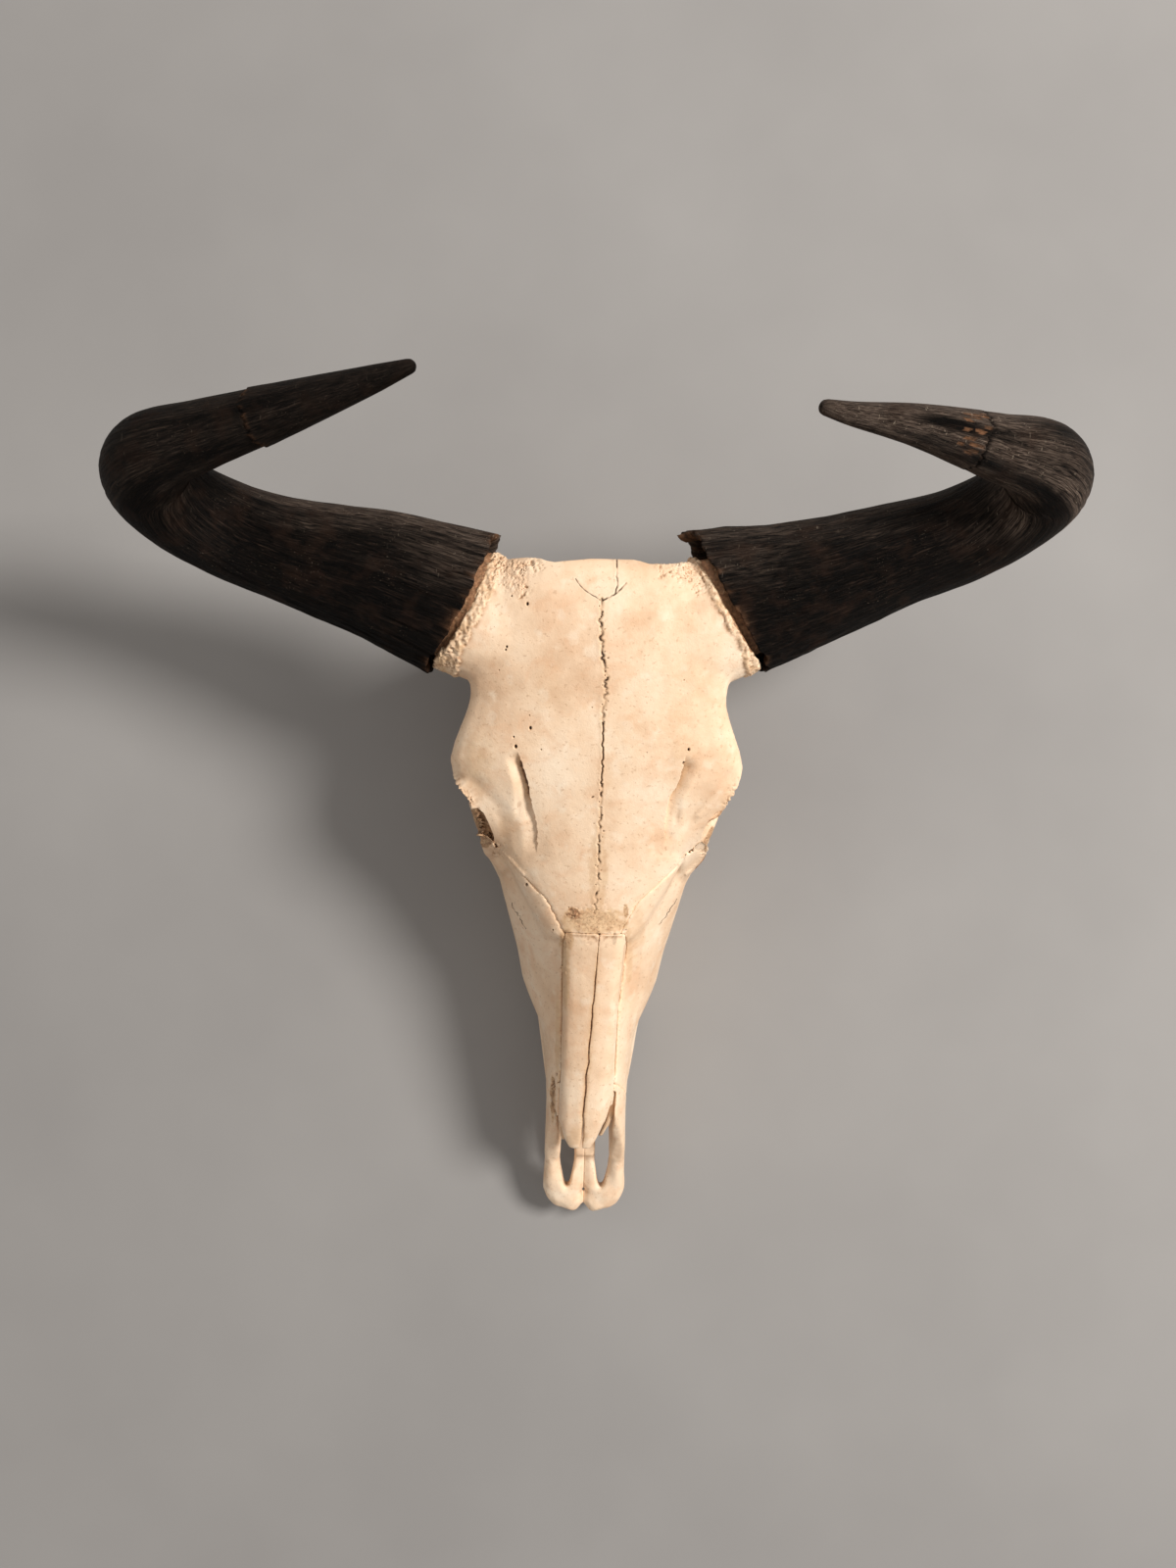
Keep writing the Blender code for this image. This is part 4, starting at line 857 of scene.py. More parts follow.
def carve_burrs(bone):
    """The knobbly collar round each horn core and the rusty band under the sheath's rim."""
    bone.burr, crest, band = burr_masks(bone.points)
    ridges = np.abs(clouds(bone.points * (1.0, 0.7, 1.0), 0.0034, 45, 2))
    knobs = 0.0002 + 0.0011 * (0.35 - ridges) * 2 + 0.0004 * bone.fine - 0.0010 * bone.pitted
    bone.height += bone.burr * knobs
    bone.height += crest * (0.0007 + 0.0005 * bone.sponge) + band * (-0.0007 + 0.0003 * bone.fine)
    # Painted shade in the burr's pits and hollows
    bone.darken(bone.burr * np.maximum(bone.pitted * 0.30, 0.25 * ease(ridges, 0.30, 0.60)))
    bone.tan((0.80 + 0.12 * bone.sponge) * band)
    bone.tan(0.45 * bone.burr * ease(cloud(bone.points, 0.006, 53), 0.0, 0.7))


def carve_brows(bone):
    """The troughs above the eyes, the edges of the sockets and the frayed edges of the brows, with painted
    shade in the troughs and between the brows' teeth.
    """
    cut, shade = trough_depth(bone.spots)
    top = (bone.up > 0) & (bone.points[:, 2] > 0.12)
    bone.height -= TROUGH_DEPTH * cut * top
    # Painted shadow in each trough, dark and brown beside its inner edge
    bone.darken(0.46 * shade**2 * top)
    bone.tan(0.86 * shade * top)
    for outline in SOCKET_WINDOWS:
        bone.height -= WINDOW_DEPTH * ease(inside_outline(bone.spots, outline), -0.6, 1.6) * top
    fray, between = brow_fray(bone.points, bone.spots)
    bone.points = bone.points + fray
    # Painted shade between the brow's teeth, dark and tan
    bone.darken(0.28 * between)
    bone.tan(0.45 * between)


# Painted shade over the sunk eye sockets, tan and dark
def shade_windows(bone):
    for outline in SOCKET_WINDOWS:
        window = ease(inside_outline(bone.spots, outline) + 0.5 * bone.fine, -0.4, 1.2)
        window = window * (bone.points[:, 2] > 0.06)
        bone.tan(0.66 * window)
        bone.darken(0.24 * window)


def shade_nasal_crack(bone):
    beside = read_numbers(bone.mesh, "beside") * SEAM_REACH
    row = bone.spots[:, 1]
    core = bell(beside, 0.00040 + 0.00030 * ease(row, 1050, 1140)) * bone.up
    bone.darken(core * (0.16 + 0.24 * ease(cloud(bone.points, 0.004, 107), -0.2, 0.6)))
    bone.tan(0.86 * bell(beside, 0.0011) * ease(row, 955, 1000) * (bone.up > 0))


def carve_seam(bone, name, line, wide, deep):
    """One wandering seam or crack with slightly raised lips, broken up along its way."""
    low, high = line.min(axis=0) - 9, line.max(axis=0) + 9
    shown = (bone.up > 0) & (bone.points[:, 2] > 0.06)
    inside = np.nonzero(((bone.spots > low) & (bone.spots < high)).all(axis=1) & shown)[0]
    if not len(inside):
        return
    points, up = bone.points[inside], bone.up[inside]
    far = distance_to_line(bone.spots[inside], line) * metres_per_pixel(points)
    gaps = 0.0 if name == "forehead_lower" else 0.15
    broken = np.clip(0.55 + gaps + 0.95 * cloud(points, 0.0030, 51), 0.06, 1.0)
    if name == "forehead_crack":
        broken = np.ones(len(inside))
    core = bell(far, wide) * broken
    lip = bell(far - 2.2 * wide, 1.2 * wide)
    bone.height[inside] -= up * (deep * core - 0.12 * deep * lip)
    bone.darken(up * core * (0.45 if name == "broken_strip" else 0.9), inside)
    if name.startswith("forehead"):
        bone.tan(0.34 * bell(far, 2.6 * wide), inside)


def carve_holes(bone, holes):
    for x, y, radius, deep in holes:
        inside = np.nonzero((np.abs(bone.spots - (x, y)) < 5).all(axis=1) & (bone.up > 0))[0]
        off = (bone.spots[inside] - (x, y)) * (1.15, 0.9)
        far = np.linalg.norm(off, axis=1) * metres_per_pixel(bone.points[inside])
        bowl = 1 - ease(far, radius * 0.5, radius * 1.25)
        bone.height[inside] -= deep * bowl
        # Painted shade inside each hole, darker in the larger ones
        bone.darken(bowl * (0.9 if radius > 0.0005 else 0.6), inside)


def painted_relief_shading(mesh):
    """Painted shade in dents and painted light on bumps: 0.5 on flat and evenly curved places, more in dents
    and less on bumps.
    """
    before = points_of(mesh)
    twin = new_object("twin", mesh.copy())
    smooth(twin, 8)
    hollow = ((points_of(twin.data) - before) * normals_of(mesh)).sum(axis=1)
    bpy.data.objects.remove(twin, do_unlink=True)
    return 0.5 + hollow / 0.0006


def carve(obj, node, lines):
    """Relief of one bone and the numbers that its material reads."""
    mesh = obj.data
    bone = Relief(mesh)
    carve_swells(bone)
    carve_rough_patches(bone)
    carve_ridges(bone)
    lay_stains_and_shade(bone)
    if node == "cranium":
        carve_burrs(bone)
        carve_brows(bone)
    shade_windows(bone)
    seams = dict(SEAMS) if node == "cranium" else {name: SEAMS[name] for name in ("jaw_right", "jaw_left")}
    if node.startswith("nasal"):
        shade_nasal_crack(bone)
    else:
        seams["broken_strip"] = BROKEN_STRIP
    for name, (_, wide, deep) in seams.items():
        carve_seam(bone, name, lines[name], wide, deep)
    carve_holes(bone, HOLES + suture_pits() if node == "cranium" else HOLES)
    move_points(mesh, bone.points + bone.normals * bone.height[:, None])
    for name in ("groove", "burr", "stain"):
        store(mesh, name, getattr(bone, name))
    # Painted shade in dents and painted light on bumps, for the material
    store(mesh, "hollow", painted_relief_shading(mesh))


def tooth_ring(sign, number, middle, level):
    """Corners round one tooth at a level. Below level 0 they run inward over its grinding face."""
    length, width, lobes = TEETH[number]
    length -= 0.0002
    z = TOOTH_TOP * max(level, 0) / (TOOTH_LEVELS - 1)
    inward = 1.0 if level >= 0 else (level + 5.5) / 5.5
    ring = []
    for k in range(TOOTH_SIDES):
        turn = math.tau * k / TOOTH_SIDES
        c, s = math.cos(turn), math.sin(turn)
        along = math.copysign(abs(c) ** 0.66, c) * length / 2
        across = math.copysign(abs(s) ** 0.66, s) * width / 2
        if lobes == 2:
            across *= 1 - 0.22 * math.exp(-((along / (0.13 * length)) ** 2))
            across *= 1 - 0.05 * math.exp(-(((abs(along) - 0.27 * length) / (0.03 * length)) ** 2))
        else:
            across *= 1 - 0.05 * math.exp(-((along / (0.10 * length)) ** 2))
        share = 0.92 + 0.08 * min(z / 0.005, 1.0) - 0.10 * max(z - 0.006, 0) / 0.030
        dip = 0.0
        if level < 0:
            folds = 0.6 + 0.4 * math.cos(3 * turn + number)
            dip = 0.0009 * math.exp(-(((inward - 0.55) / 0.22) ** 2)) * folds
        ring.append((sign * spline(ROW_X, middle) + across * share * inward, middle + along * inward, z + dip))
    return ring


def tooth_piece(side):
    """The six cheek teeth of one side: ribbed crowns with worn grinding faces, sunk into the jaw."""
    form = bmesh.new()
    y = TOOTH_ROW_FRONT
    for number, (length, _, _) in enumerate(TEETH):
        rings = [tooth_ring(SIDES[side], number, y + length / 2, level) for level in range(-5, TOOTH_LEVELS)]
        skin(form, [[form.verts.new(Vector(spot) + Vector(SHIFT)) for spot in ring] for ring in rings])
        y += length
    mesh = mesh_of(form, "teeth")
    points = points_of(mesh)
    streaks = points * (1.0, 1.0, 0.25)
    height = 0.00016 * clouds(streaks, 0.0022, 91, 2) + 0.00012 * clouds(points, 0.006, 93, 2)
    height *= ease(points[:, 2], 0.0003, 0.0015)
    move_points(mesh, points + normals_of(mesh) * height[:, None])
    store(mesh, "worn", 1 - ease(points[:, 2], 0.0003, 0.0012))
    store(mesh, "neck", ease(points[:, 2], 0.010, 0.021))
    return new_object("teeth_" + side, mesh)


def inner_bone(side):
    """The thin bone seen inside the nose opening, in the gap beside the nasal bone's tip."""
    form = bmesh.new()
    turns = [math.tau * k / INNER_BONE_SIDES for k in range(INNER_BONE_SIDES)]
    rings = []
    for x, y, z, radius in spread_spline(INNER_BONES[side], INNER_BONE_RINGS)[0]:
        ring = [(x + radius * math.cos(t), y, z + 1.4 * radius * math.sin(t)) for t in turns]
        rings.append([form.verts.new(Vector(spot) + Vector(SHIFT)) for spot in ring])
    skin(form, rings)
    mesh = mesh_of(form, "inner_bone")
    for name, value in (("groove", 0.0), ("burr", 0.0), ("stain", 0.40), ("hollow", 0.5)):
        store(mesh, name, np.full(len(mesh.vertices), value))
    points = points_of(mesh)
    move_points(mesh, points + normals_of(mesh) * (0.0003 * clouds(points, 0.004, 109, 2))[:, None])
    return new_object("inner_bone_" + side, mesh)


TREES = {}
for bone in BONES:
    solid = frame["nodes"][bone]
    TREES[bone] = BVHTree.FromPolygons(
        [v.co for v in solid.data.vertices], [tuple(p.vertices) for p in solid.data.polygons]
    )


def degrees_from(turn, middle):
    """How far each turn round the horn is from a middle one in degrees, to either side."""
    return (np.degrees(turn) - middle + 180) % 360 - 180


def horn_lines(side):
    """The middle, half width, half thickness and directions of each ring of a horn, and the horn's length."""
    sign = np.array((SIDES[side], 1.0, 1.0))
    rows, length = spread_spline(HORN_PATHS[side], HORN_RINGS)
    middles = rows[:, :3] * sign + SHIFT
    along = unit(np.gradient(middles, axis=0))
    rim_normal = unit(np.array(COLLARS[side][1])) * sign
    blend = np.clip(np.linspace(0, 1, HORN_RINGS) / RIM_BLEND, 0, 1)[:, None]
    along = unit(rim_normal * (1 - blend) + along * blend)
    front = unit(np.array((0.0, 1.0, 0.0)) - along * along[:, 1:2])
    rise = np.cross(front, along) * SIDES[side]
    return middles, rows[:, 3], rows[:, 4], along, front, rise, length


def past_break(side, middles, share, circle):
    """How far each point lies past the ragged end of the horn's outer layer, as a share of its length."""
    far = np.linalg.norm(photo_pixels(middles) - HORN_BREAKS[side], axis=1)
    late = np.arange(HORN_RINGS) > HORN_RINGS * 0.55
    end = np.argmin(far + 1e6 * ~late) / HORN_RINGS
    ragged = 0.007 * clouds(circle, 0.6, 71) + 0.010 * clouds(circle, 0.22, 73)
    return share[:, None] - end - ragged[None, :]


def torn_chips(past, turn, fibre):
    """The small torn places beyond the crack of the left horn."""
    chance = random.Random(8)
    chips = np.zeros(past.shape)
    for k in range(CHIPS):
        at = 0.011 + 0.013 * (k % 3) + chance.uniform(-0.005, 0.005)
        middle = 44 + 108 * k / CHIPS + chance.uniform(-6, 6)
        off = np.abs(degrees_from(turn[None, :], middle)) / chance.uniform(2.6, 4.8)
        box = np.maximum(off, np.abs(past - at) / chance.uniform(0.0045, 0.0090)) + 0.45 * fibre
        chips = np.maximum(chips, (1 - ease(box, 0.75, 1.10)) * chance.uniform(0.5, 1.0))
    return chips


def rim_shift(side, turn, circle, share):
    """How far each point near the rim is moved along the horn, by the rim's bow, lips, notches and rags."""
    jag = 0.0018 * clouds(circle, 0.40, 75) + 0.0020 * clouds(circle, 0.12, 77)
    for middle, half, reach in RIM_LIPS[side]:
        jag = jag - reach * np.clip(1 - np.abs(degrees_from(turn, middle)) / half, 0, 1)
    bow = -rim_bow(side, np.sin(turn))[None, :] * np.clip(1 - share / RIM_BOW_END, 0, 1)[:, None]
    return bow + jag[None, :] * np.clip(1 - share / 0.04, 0, 1)[:, None]


def upper_light_and_weathering(side, share, turn, patchy):
    """How pale each point of the horn is made: painted light on the upper edge of its base, where the light
    falls, and weathering over its bend and near its tip.
    """
    bend, tip = ease(share, 0.30, 0.46)[:, None], ease(share, 0.62, 0.74)[:, None]
    on_base, on_bend, on_tip = UPPER_LIGHT_AND_WEATHERING[side]
    # Painted light: the base's upper edge, which faces the light, made paler
    upper = ease(np.cos(turn)[None, :] + 0.5 * patchy, 0.15, 0.95) * on_base
    outer = 0.25 + 0.75 * ease(share, 0.46, 0.52)[:, None]
    weather = upper * (1 - bend) + ease(patchy, -0.55, 0.25) * on_bend * outer * (bend * (1 - tip))
    return weather + ease(patchy, -0.70, 0.10) * on_tip * tip


def horn_rings(lines, turn, height, shift):
    """Rings of points from inside the rim, over the outside, to the rounded tip."""
    middles, wide, thick, along, front, rise, _ = lines
    c, s = np.cos(turn), np.sin(turn)

    def surface(rows, grown, moved):
        centre = middles[rows][:, None, :] + along[rows][:, None, :] * moved[..., None]
        return (
            centre
            + front[rows][:, None, :] * ((wide[rows][:, None] + grown) * c[None, :])[..., None]
            + rise[rows][:, None, :] * ((thick[rows][:, None] + grown) * s[None, :])[..., None]
        )

    outside = surface(np.arange(HORN_RINGS), height, shift)
    first = np.zeros(1, int)
    inner = [surface(first, np.full((1, HORN_SIDES), -deep), shift[:1] + inset) for deep, inset in RIM_INSIDE]
    tip = []
    for angle in TIP_ANGLES:
        reach, shrink = math.sin(math.radians(angle)) * wide[-1], math.cos(math.radians(angle))
        tip.append(middles[-1] + along[-1] * reach + (outside[-1:] - middles[-1]) * shrink)
    return np.concatenate(inner + [outside] + tip, axis=0)


def horn_mesh(rings, tip_way):
    """Faces over all rings, with a fan of triangles to a point in the middle of each end."""
    count = len(rings)
    hubs = [rings[0].mean(axis=0), rings[-1].mean(axis=0) + tip_way]
    points = np.concatenate((rings.reshape(-1, 3), hubs))
    index = np.arange(count * HORN_SIDES).reshape(count, HORN_SIDES)
    after = np.roll(index, -1, axis=1)
    quads = np.stack((index[:-1], after[:-1], after[1:], index[1:]), axis=-1).reshape(-1, 4)
    fans = [(after[0, k], index[0, k], index.size) for k in range(HORN_SIDES)]
    fans += [(index[-1, k], after[-1, k], index.size + 1) for k in range(HORN_SIDES)]
    mesh = bpy.data.meshes.new("horn")
    mesh.from_pydata(points.tolist(), [], quads.tolist() + fans)
    form = bmesh.new()
    form.from_mesh(mesh)
    bpy.data.meshes.remove(mesh)
    return mesh_of(form, "horn")


def over_all_rings(values):
    """A value of the points outside, carried on inside the rim and over the tip, and 0 at both hubs."""
    head = np.repeat(values[:1], len(RIM_INSIDE), axis=0)
    tail = np.repeat(values[-1:], len(TIP_ANGLES), axis=0)
    return np.concatenate((np.concatenate((head, values, tail), axis=0).reshape(-1), (0.0, 0.0)))


def horn_piece(side):
    """One horn sheath with its fibres, the flaky end of its outer layer and a ragged rim."""
    lines = horn_lines(side)
    middles, wide, _, along, _, _, length = lines
    share = np.linspace(0, 1, HORN_RINGS)
    rings = share[:, None]
    turn = np.linspace(0, math.tau, HORN_SIDES, endpoint=False)
    circle = np.stack((np.cos(turn), np.sin(turn), 0 * turn), axis=1)
    girth = wide[:, None] ** 0.5 * 0.22
    lane = np.broadcast_arrays(girth * circle[None, :, 0], girth * circle[None, :, 1], rings * length / 16)
    grain = np.stack(lane, axis=-1).reshape(-1, 3)

    def spread(values):
        return values.reshape(HORN_RINGS, -1)

    coarse, fibre = spread(clouds(grain, 0.0060, 61, 2)), spread(clouds(grain, 0.0028, 63, 2))
    fine, crinkle = spread(cloud(grain, 0.0013, 67)), spread(clouds(grain * (1.0, 1.0, 4.0), 0.0042, 97, 2))
    patchy = spread(clouds(grain * (1.0, 1.0, 3.0), 0.014, 65, 3))

    past = past_break(side, middles, share, circle)
    chips = torn_chips(past, turn, fibre) if side == "left" else np.zeros(past.shape)
    base = 0.45 + 0.75 * bell(rings, 0.25)
    thinner = np.clip(wide / 0.030, 0.25, 1.0)[:, None]
    height = (0.00055 * coarse + 0.00060 * fibre + 0.00030 * fine + 0.00040 * crinkle) * base * thinner
    layer = ease(past, -0.0009, 0.0009) * np.exp(-np.maximum(past, 0) / 0.10)
    hanging = bell(degrees_from(turn, 180), 26)[None, :]
    height += BREAK_STEP[side] * layer * (1 + 1.2 * hanging * np.exp(-np.maximum(past, 0) / 0.010))
    height -= BREAK_CRACK[side] * bell(past, 0.0012) + 0.0005 * chips
    height += 0.0006 * np.exp(-rings / 0.012)

    edge_chips = bell(past - 0.002, 0.0035) * ease(coarse + 0.8 * fibre, -0.25, 0.25)
    rim_torn = np.exp(-rings / 0.005) * ease(clouds(circle, 0.10, 79), -0.1, 0.5)[None, :] * 0.7
    torn = np.clip(np.maximum(BREAK_FRAY[side] * edge_chips, chips) + rim_torn, 0, 1)
    split = bell(past, 0.0028) * ease(coarse, -0.45, -0.05) * (side == "left")
    all_rings = horn_rings(lines, turn, height, rim_shift(side, turn, circle, share))
    mesh = horn_mesh(all_rings, along[-1] * wide[-1] * 0.03)
    for name, values in (("torn", torn), ("split", split), ("weather", upper_light_and_weathering(side, share, turn, patchy))):
        store(mesh, name, over_all_rings(values))
    layer = mesh.attributes.new("lane", "FLOAT_VECTOR", "POINT")
    ways = np.stack([over_all_rings(spread(grain[:, k])) for k in range(3)], axis=1)
    layer.data.foreach_set("vector", ways.astype(np.float32).ravel())
    return new_object("horn_" + side + "_sheath", mesh)


def node_maker(tree):
    """A short way to add a shader node, set its inputs by name and join sockets to them."""

    def add(kind, settings=(), **inputs):
        made = tree.nodes.new(kind)
        for key, value in dict(settings).items():
            setattr(made, key, value)
        for key, value in inputs.items():
            name = key.replace("_", " ")
            socket = made.inputs[int(name[1:])] if name[0] == "i" and name[1:].isdigit() else made.inputs[name]
            if isinstance(value, bpy.types.NodeSocket):
                tree.links.new(value, socket)
            else:
                socket.default_value = value
        return made

    return add


def blank_material(name):
    made = bpy.data.materials.new(name)
    made.use_nodes = True
    made.node_tree.nodes.clear()
    return made, node_maker(made.node_tree)


def ramp(add, value, *stops):
    """Colours or greys along a value: each stop is a place and a colour of three numbers or a grey."""
    made = add("ShaderNodeValToRGB", Fac=value)
    band = made.color_ramp
    for k, (place, colour) in enumerate(stops):
        if k >= len(band.elements):
            band.elements.new(place)
        band.elements[k].position = place
        colour = colour if isinstance(colour, tuple) else (colour,) * 3
        band.elements[k].color = (*colour, 1.0)
    return made.outputs["Color"]


def mixed(add, factor, a, b, mode="MIX"):
    made = add("ShaderNodeMix", {"data_type": "RGBA", "blend_type": mode, "clamp_factor": True})
    for socket, value in ((made.inputs[0], factor), (made.inputs[6], a), (made.inputs[7], b)):
        if isinstance(value, bpy.types.NodeSocket):
            made.id_data.links.new(value, socket)
        elif isinstance(value, tuple):
            socket.default_value = (*value, 1.0)
        else:
            socket.default_value = value
    return made.outputs[2]


def noise(add, place, scale, detail=4.0, roughness=0.55, distortion=0.0):
    made = add(
        "ShaderNodeTexNoise", Vector=place, Scale=scale, Detail=detail, Roughness=roughness,
        Distortion=distortion
    )
    return made.outputs["Fac"]


def attribute(add, name):
    return add("ShaderNodeAttribute", {"attribute_name": name}).outputs["Fac"]


def scaled(add, value, share):
    """A number socket times a share, or times another socket."""
    return add("ShaderNodeMath", {"operation": "MULTIPLY"}, i0=value, i1=share).outputs[0]


def summed(add, value, share, more):
    """A number socket times a share, and another added."""
    return add("ShaderNodeMath", {"operation": "MULTIPLY_ADD"}, i0=value, i1=share, i2=more).outputs[0]


def finish_look(add, tone, rough, height, strength, depth, gloss=0.5):
    """The surface shader of a material, with its colour, roughness, bump and how much it mirrors."""
    bump = add("ShaderNodeBump", Strength=strength, Distance=depth, Height=height)
    shader = add("ShaderNodeBsdfPrincipled", Base_Color=tone, Roughness=rough, Normal=bump.outputs["Normal"])
    shader.inputs["Specular IOR Level"].default_value = gloss
    add("ShaderNodeOutputMaterial", Surface=shader.outputs[0])


def bone_material():
    """Dry, cream bone with peach and tan clouds, brown stains, dark seams and pores, and a fine grain."""
    made, add = blank_material("bone")
    place = add("ShaderNodeTexCoord").outputs["Object"]
    tone = ramp(
        add, noise(add, place, 20, 4, 0.6), (0.30, (0.70, 0.48, 0.31)), (0.48, (0.84, 0.63, 0.44)),
        (0.68, (0.90, 0.73, 0.55)),
    )
    peach = ramp(add, noise(add, place, 55, 4, 0.65, 0.5), (0.50, 0.0), (0.68, 0.40))
    tone = mixed(add, peach, tone, (0.72, 0.42, 0.24))
    pale = ramp(add, noise(add, place, 90, 3, 0.5), (0.56, 0.0), (0.70, 0.35))
    tone = mixed(add, pale, tone, (0.93, 0.82, 0.66))
    speck = ramp(add, noise(add, place, 460, 2, 0.5), (0.62, 0.0), (0.70, 0.35))
    tone = mixed(add, speck, tone, (0.40, 0.23, 0.12))
    # Painted shade in dents and painted light on bumps, multiplied into the colour
    shade = ramp(
        add, attribute(add, "hollow"), (0.25, (1.10, 1.09, 1.07)), (0.50, (1.0, 1.0, 1.0)),
        (0.90, (0.52, 0.40, 0.30)),
    )
    tone = mixed(add, 1.0, tone, shade, "MULTIPLY")
    spongy = ramp(add, noise(add, place, 330, 3, 0.6), (0.38, (0.50, 0.29, 0.16)), (0.58, (0.86, 0.66, 0.45)))
    tone = mixed(add, scaled(add, attribute(add, "burr"), 0.7), tone, spongy)
    # Tan and brown of the real stains, and of the painted shade in the troughs, the sockets, between the brows'
    # teeth and on the right brow
    stain = attribute(add, "stain")
    tan = ramp(add, noise(add, place, 150, 3, 0.6), (0.35, (0.60, 0.37, 0.20)), (0.65, (0.74, 0.52, 0.31)))
    tone = mixed(add, ramp(add, stain, (0.0, 0.0), (0.55, 0.85), (0.70, 1.0)), tone, tan)
    brown = ramp(
        add, noise(add, place, 420, 4, 0.65), (0.34, (0.11, 0.050, 0.024)), (0.58, (0.34, 0.16, 0.080)),
        (0.75, (0.50, 0.28, 0.15)),
    )
    deep = summed(add, noise(add, place, 620, 3, 0.6), 0.5, stain)
    tone = mixed(add, ramp(add, deep, (0.84, 0.0), (1.10, 0.9)), tone, brown)
    # Dark seams and cracks, and painted shade in holes, pits, troughs, sockets and between the brows' teeth
    groove = ramp(add, attribute(add, "groove"), (0.12, 0.0), (0.80, 1.0))
    tone = mixed(add, groove, tone, (0.060, 0.030, 0.015))
    grain = noise(add, place, 950, 3, 0.6)
    mid = noise(add, place, 260, 4, 0.6)
    rough = ramp(add, mid, (0.3, 0.46), (0.7, 0.64))
    finish_look(add, tone, rough, summed(add, mid, 1.8, grain), 0.35, 0.0004, 0.35)
    return made


def tooth_material():
    """Worn enamel, ivory with brown cement and dark stains in its folds and at the gum."""
    made, add = blank_material("teeth")
    place = add("ShaderNodeTexCoord").outputs["Object"]
    tone = ramp(add, noise(add, place, 160, 4, 0.6), (0.35, (0.40, 0.27, 0.16)), (0.62, (0.72, 0.60, 0.45)))
    streak = add("ShaderNodeMapping", Vector=place, Scale=(900.0, 900.0, 120.0)).outputs["Vector"]
    brown = ramp(add, noise(add, streak, 1, 3), (0.50, 0.0), (0.70, 0.8))
    tone = mixed(add, brown, tone, (0.20, 0.11, 0.055))
    tone = mixed(add, scaled(add, attribute(add, "neck"), 0.55), tone, (0.34, 0.21, 0.12))
    worn = ramp(add, noise(add, place, 420, 2), (0.42, (0.16, 0.10, 0.06)), (0.60, (0.60, 0.50, 0.38)))
    tone = mixed(add, attribute(add, "worn"), tone, worn)
    finish_look(add, tone, 0.34, noise(add, streak, 1, 3), 0.3, 0.0003)
    return made


def horn_material():
    """Near black keratin with long brown fibres, paler by painted light on the base's upper edge and by
    weathering on the bend and tip, painted highlight and shade along the fibres, pale specks and scratches, and
    brown torn edges.
    """
    made, add = blank_material("horn")
    place = add("ShaderNodeTexCoord").outputs["Object"]
    lane = add("ShaderNodeAttribute", {"attribute_name": "lane"}).outputs["Vector"]
    streak = noise(add, lane, 760, 4, 0.62, 1.1)
    weather = attribute(add, "weather")
    # Both ramps follow the fibres' bump, black in its grooves and lighter on its ridges: partly the fibres' own
    # colour, partly painted shade and painted highlight
    dark = ramp(
        add, streak, (0.40, (0.0008, 0.0006, 0.0005)), (0.54, (0.0034, 0.0023, 0.0017)),
        (0.64, (0.014, 0.0088, 0.0064)), (0.78, (0.045, 0.030, 0.022)),
    )
    pale = ramp(
        add, streak, (0.34, (0.0040, 0.0028, 0.0022)), (0.44, (0.030, 0.021, 0.016)),
        (0.55, (0.090, 0.066, 0.052)), (0.74, (0.20, 0.155, 0.12)),
    )
    # The paler ramp is mixed in by the painted light of the upper base and by the wear of the bend and tip
    tone = mixed(add, weather, dark, pale)
    rust = ramp(add, noise(add, place, 60, 3, 0.6), (0.52, 0.0), (0.70, 0.45))
    tone = mixed(add, rust, tone, (0.026, 0.013, 0.008))
    speck = ramp(add, noise(add, place, 1100, 1, 0.4), (0.725, 0.0), (0.75, 0.6))
    crowd = ramp(add, noise(add, place, 38, 2, 0.5), (0.50, 0.0), (0.64, 1.0))
    tone = mixed(add, scaled(add, speck, crowd), tone, (0.20, 0.16, 0.12))
    scuff = add("ShaderNodeMapping", Vector=place, Rotation=(0.5, 0.9, 0.7), Scale=(900.0, 150.0, 900.0))
    scratch = ramp(add, noise(add, scuff.outputs["Vector"], 1, 2, 0.5), (0.69, 0.0), (0.72, 0.8))
    tone = mixed(add, scaled(add, scratch, weather), tone, (0.30, 0.25, 0.19))
    chips = noise(add, place, 300, 3, 0.6)
    chips = ramp(add, chips, (0.30, (0.060, 0.028, 0.014)), (0.70, (0.26, 0.13, 0.068)))
    tone = mixed(add, attribute(add, "torn"), tone, chips)
    tone = mixed(add, attribute(add, "split"), tone, (0.0012, 0.0009, 0.0007))
    fine = noise(add, lane, 2400, 3, 0.6)
    rough = ramp(add, streak, (0.35, 0.46), (0.65, 0.66))
    finish_look(add, tone, rough, summed(add, streak, 2.2, fine), 0.75, 0.0010, 0.07)
    return made


def dress(obj, look, slot, *nodes):
    obj.data.materials.clear()
    obj.data.materials.append(look)
    obj.data.shade_smooth()
    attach(obj, "root")
    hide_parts(*nodes)


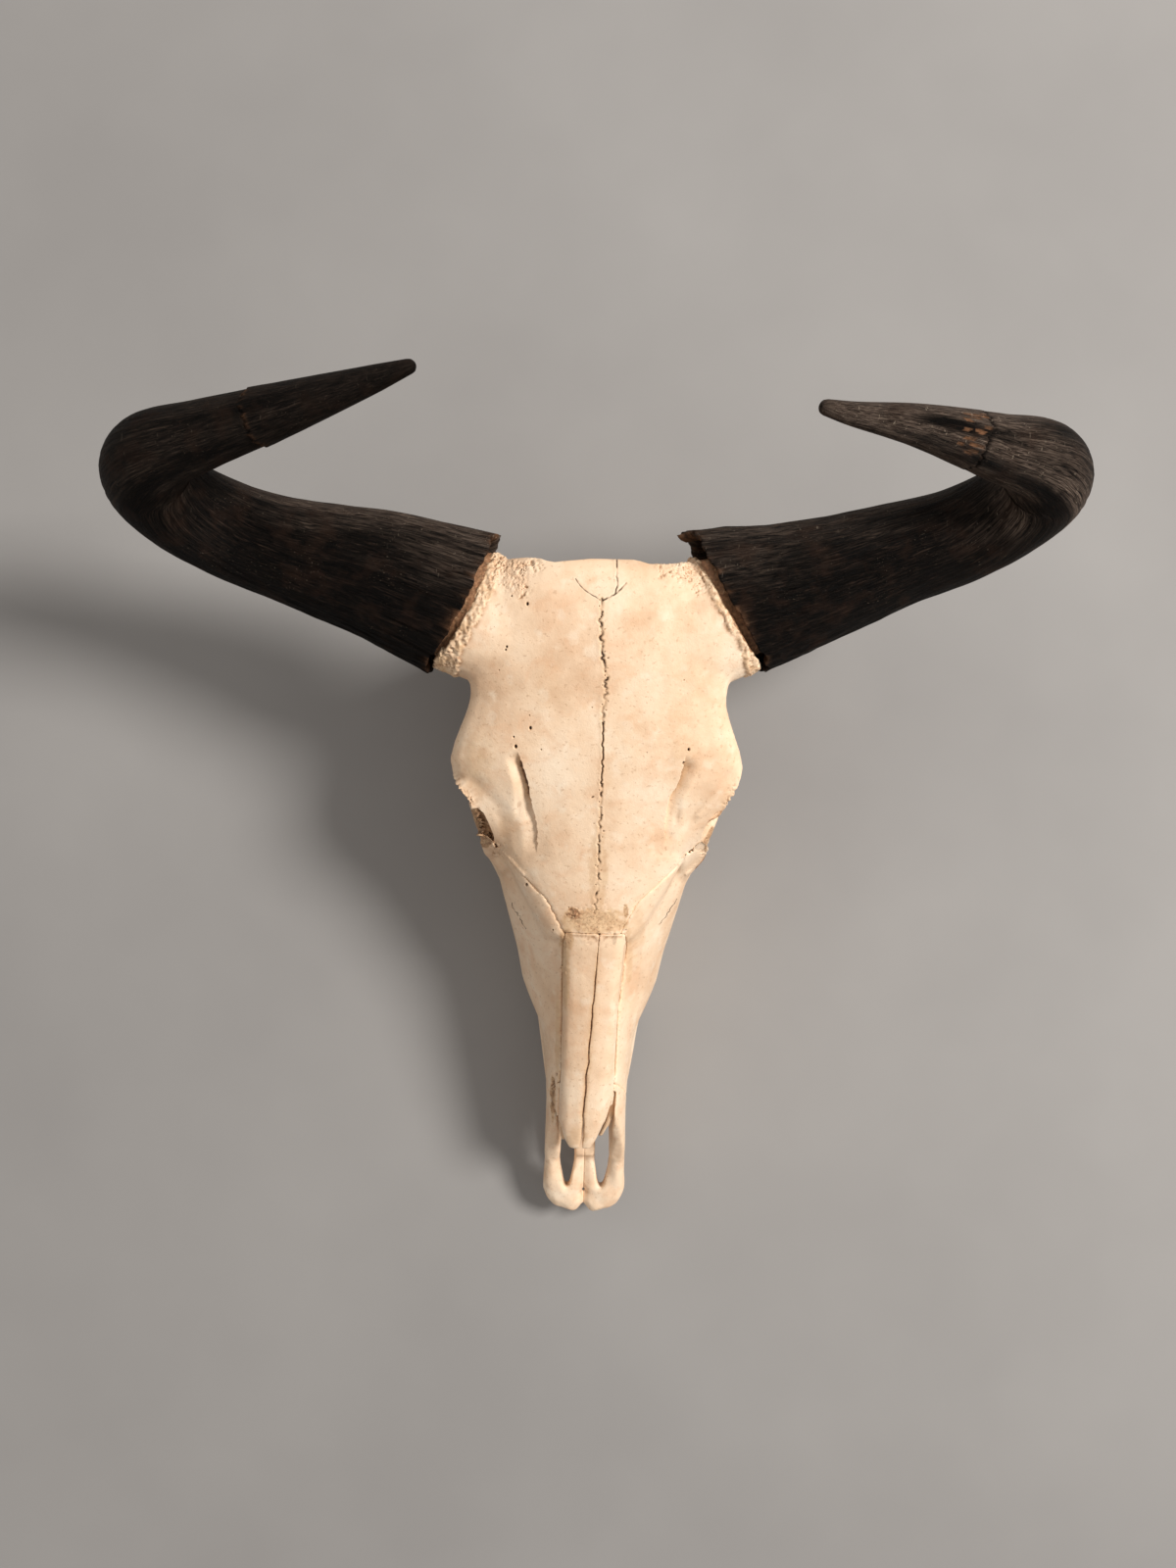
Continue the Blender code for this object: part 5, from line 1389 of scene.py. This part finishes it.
def floor():
    made, add = blank_material("floor")
    place = add("ShaderNodeTexCoord").outputs["Object"]
    tone = ramp(add, noise(add, place, 3, 4), (0.35, (0.285, 0.280, 0.276)), (0.65, (0.320, 0.315, 0.310)))
    finish_look(add, tone, 0.85, noise(add, place, 60, 5), 0.05, 0.001)
    mesh = bpy.data.meshes.new("floor")
    corners = [(x * FLOOR_REACH, y * FLOOR_REACH, 0) for x, y in ((-1, -1), (1, -1), (1, 1), (-1, 1))]
    mesh.from_pydata(corners, [], [(0, 1, 2, 3)])
    mesh.materials.append(made)
    new_object("floor", mesh)


def area_light(name, place, aim, size, power, colour):
    light = bpy.data.lights.new(name, "AREA")
    light.shape = "DISK"
    light.size = size
    light.energy = power
    light.color = colour
    obj = bpy.data.objects.new(name, light)
    obj.location = place
    obj.rotation_euler = (Vector(aim) - Vector(place)).to_track_quat("-Z", "Y").to_euler()
    bpy.context.scene.collection.objects.link(obj)


def light_and_camera():
    area_light("key", (2.10, 0.85, 2.45), (0.0, 0.0, 0.08), 0.95, 119.0, (1.0, 0.95, 0.90))
    area_light("fill", (-1.1, 0.9, 1.5), (0.0, 0.0, 0.05), 1.4, 2.0, (1.0, 0.95, 0.90))
    world = bpy.data.worlds.new("room")
    world.use_nodes = True
    world.node_tree.nodes["Background"].inputs["Color"].default_value = (0.93, 0.87, 0.82, 1.0)
    world.node_tree.nodes["Background"].inputs["Strength"].default_value = 0.46
    bpy.context.scene.world = world
    bpy.context.scene.view_settings.view_transform = "Standard"
    lens = bpy.data.cameras.new("camera")
    lens.sensor_width = 36.0
    lens.lens = 36.0 * FOCAL_PIXELS / 1600
    lens.clip_start = 0.01
    obj = bpy.data.objects.new("camera", lens)
    c, s = math.cos(CAMERA_TURN), math.sin(CAMERA_TURN)
    obj.location = (SHIFT[0] - CAMERA_ASIDE * c, SHIFT[1] - CAMERA_ASIDE * s, CAMERA_HEIGHT)
    obj.rotation_euler = (0.0, 0.0, CAMERA_TURN)
    bpy.context.scene.collection.objects.link(obj)
    bpy.context.scene.camera = obj


clear_start_scene()
light_and_camera()
floor()
BONE, HORN, ENAMEL = bone_material(), horn_material(), tooth_material()
for bone in BONES:
    dress(bone_piece(bone), BONE, "bone", bone)
for side in SIDES:
    dress(tooth_piece(side), ENAMEL, "bone", "maxilla_" + side)
    dress(horn_piece(side), HORN, "horn", "horn_" + side)
    dress(inner_bone(side), BONE, "bone")
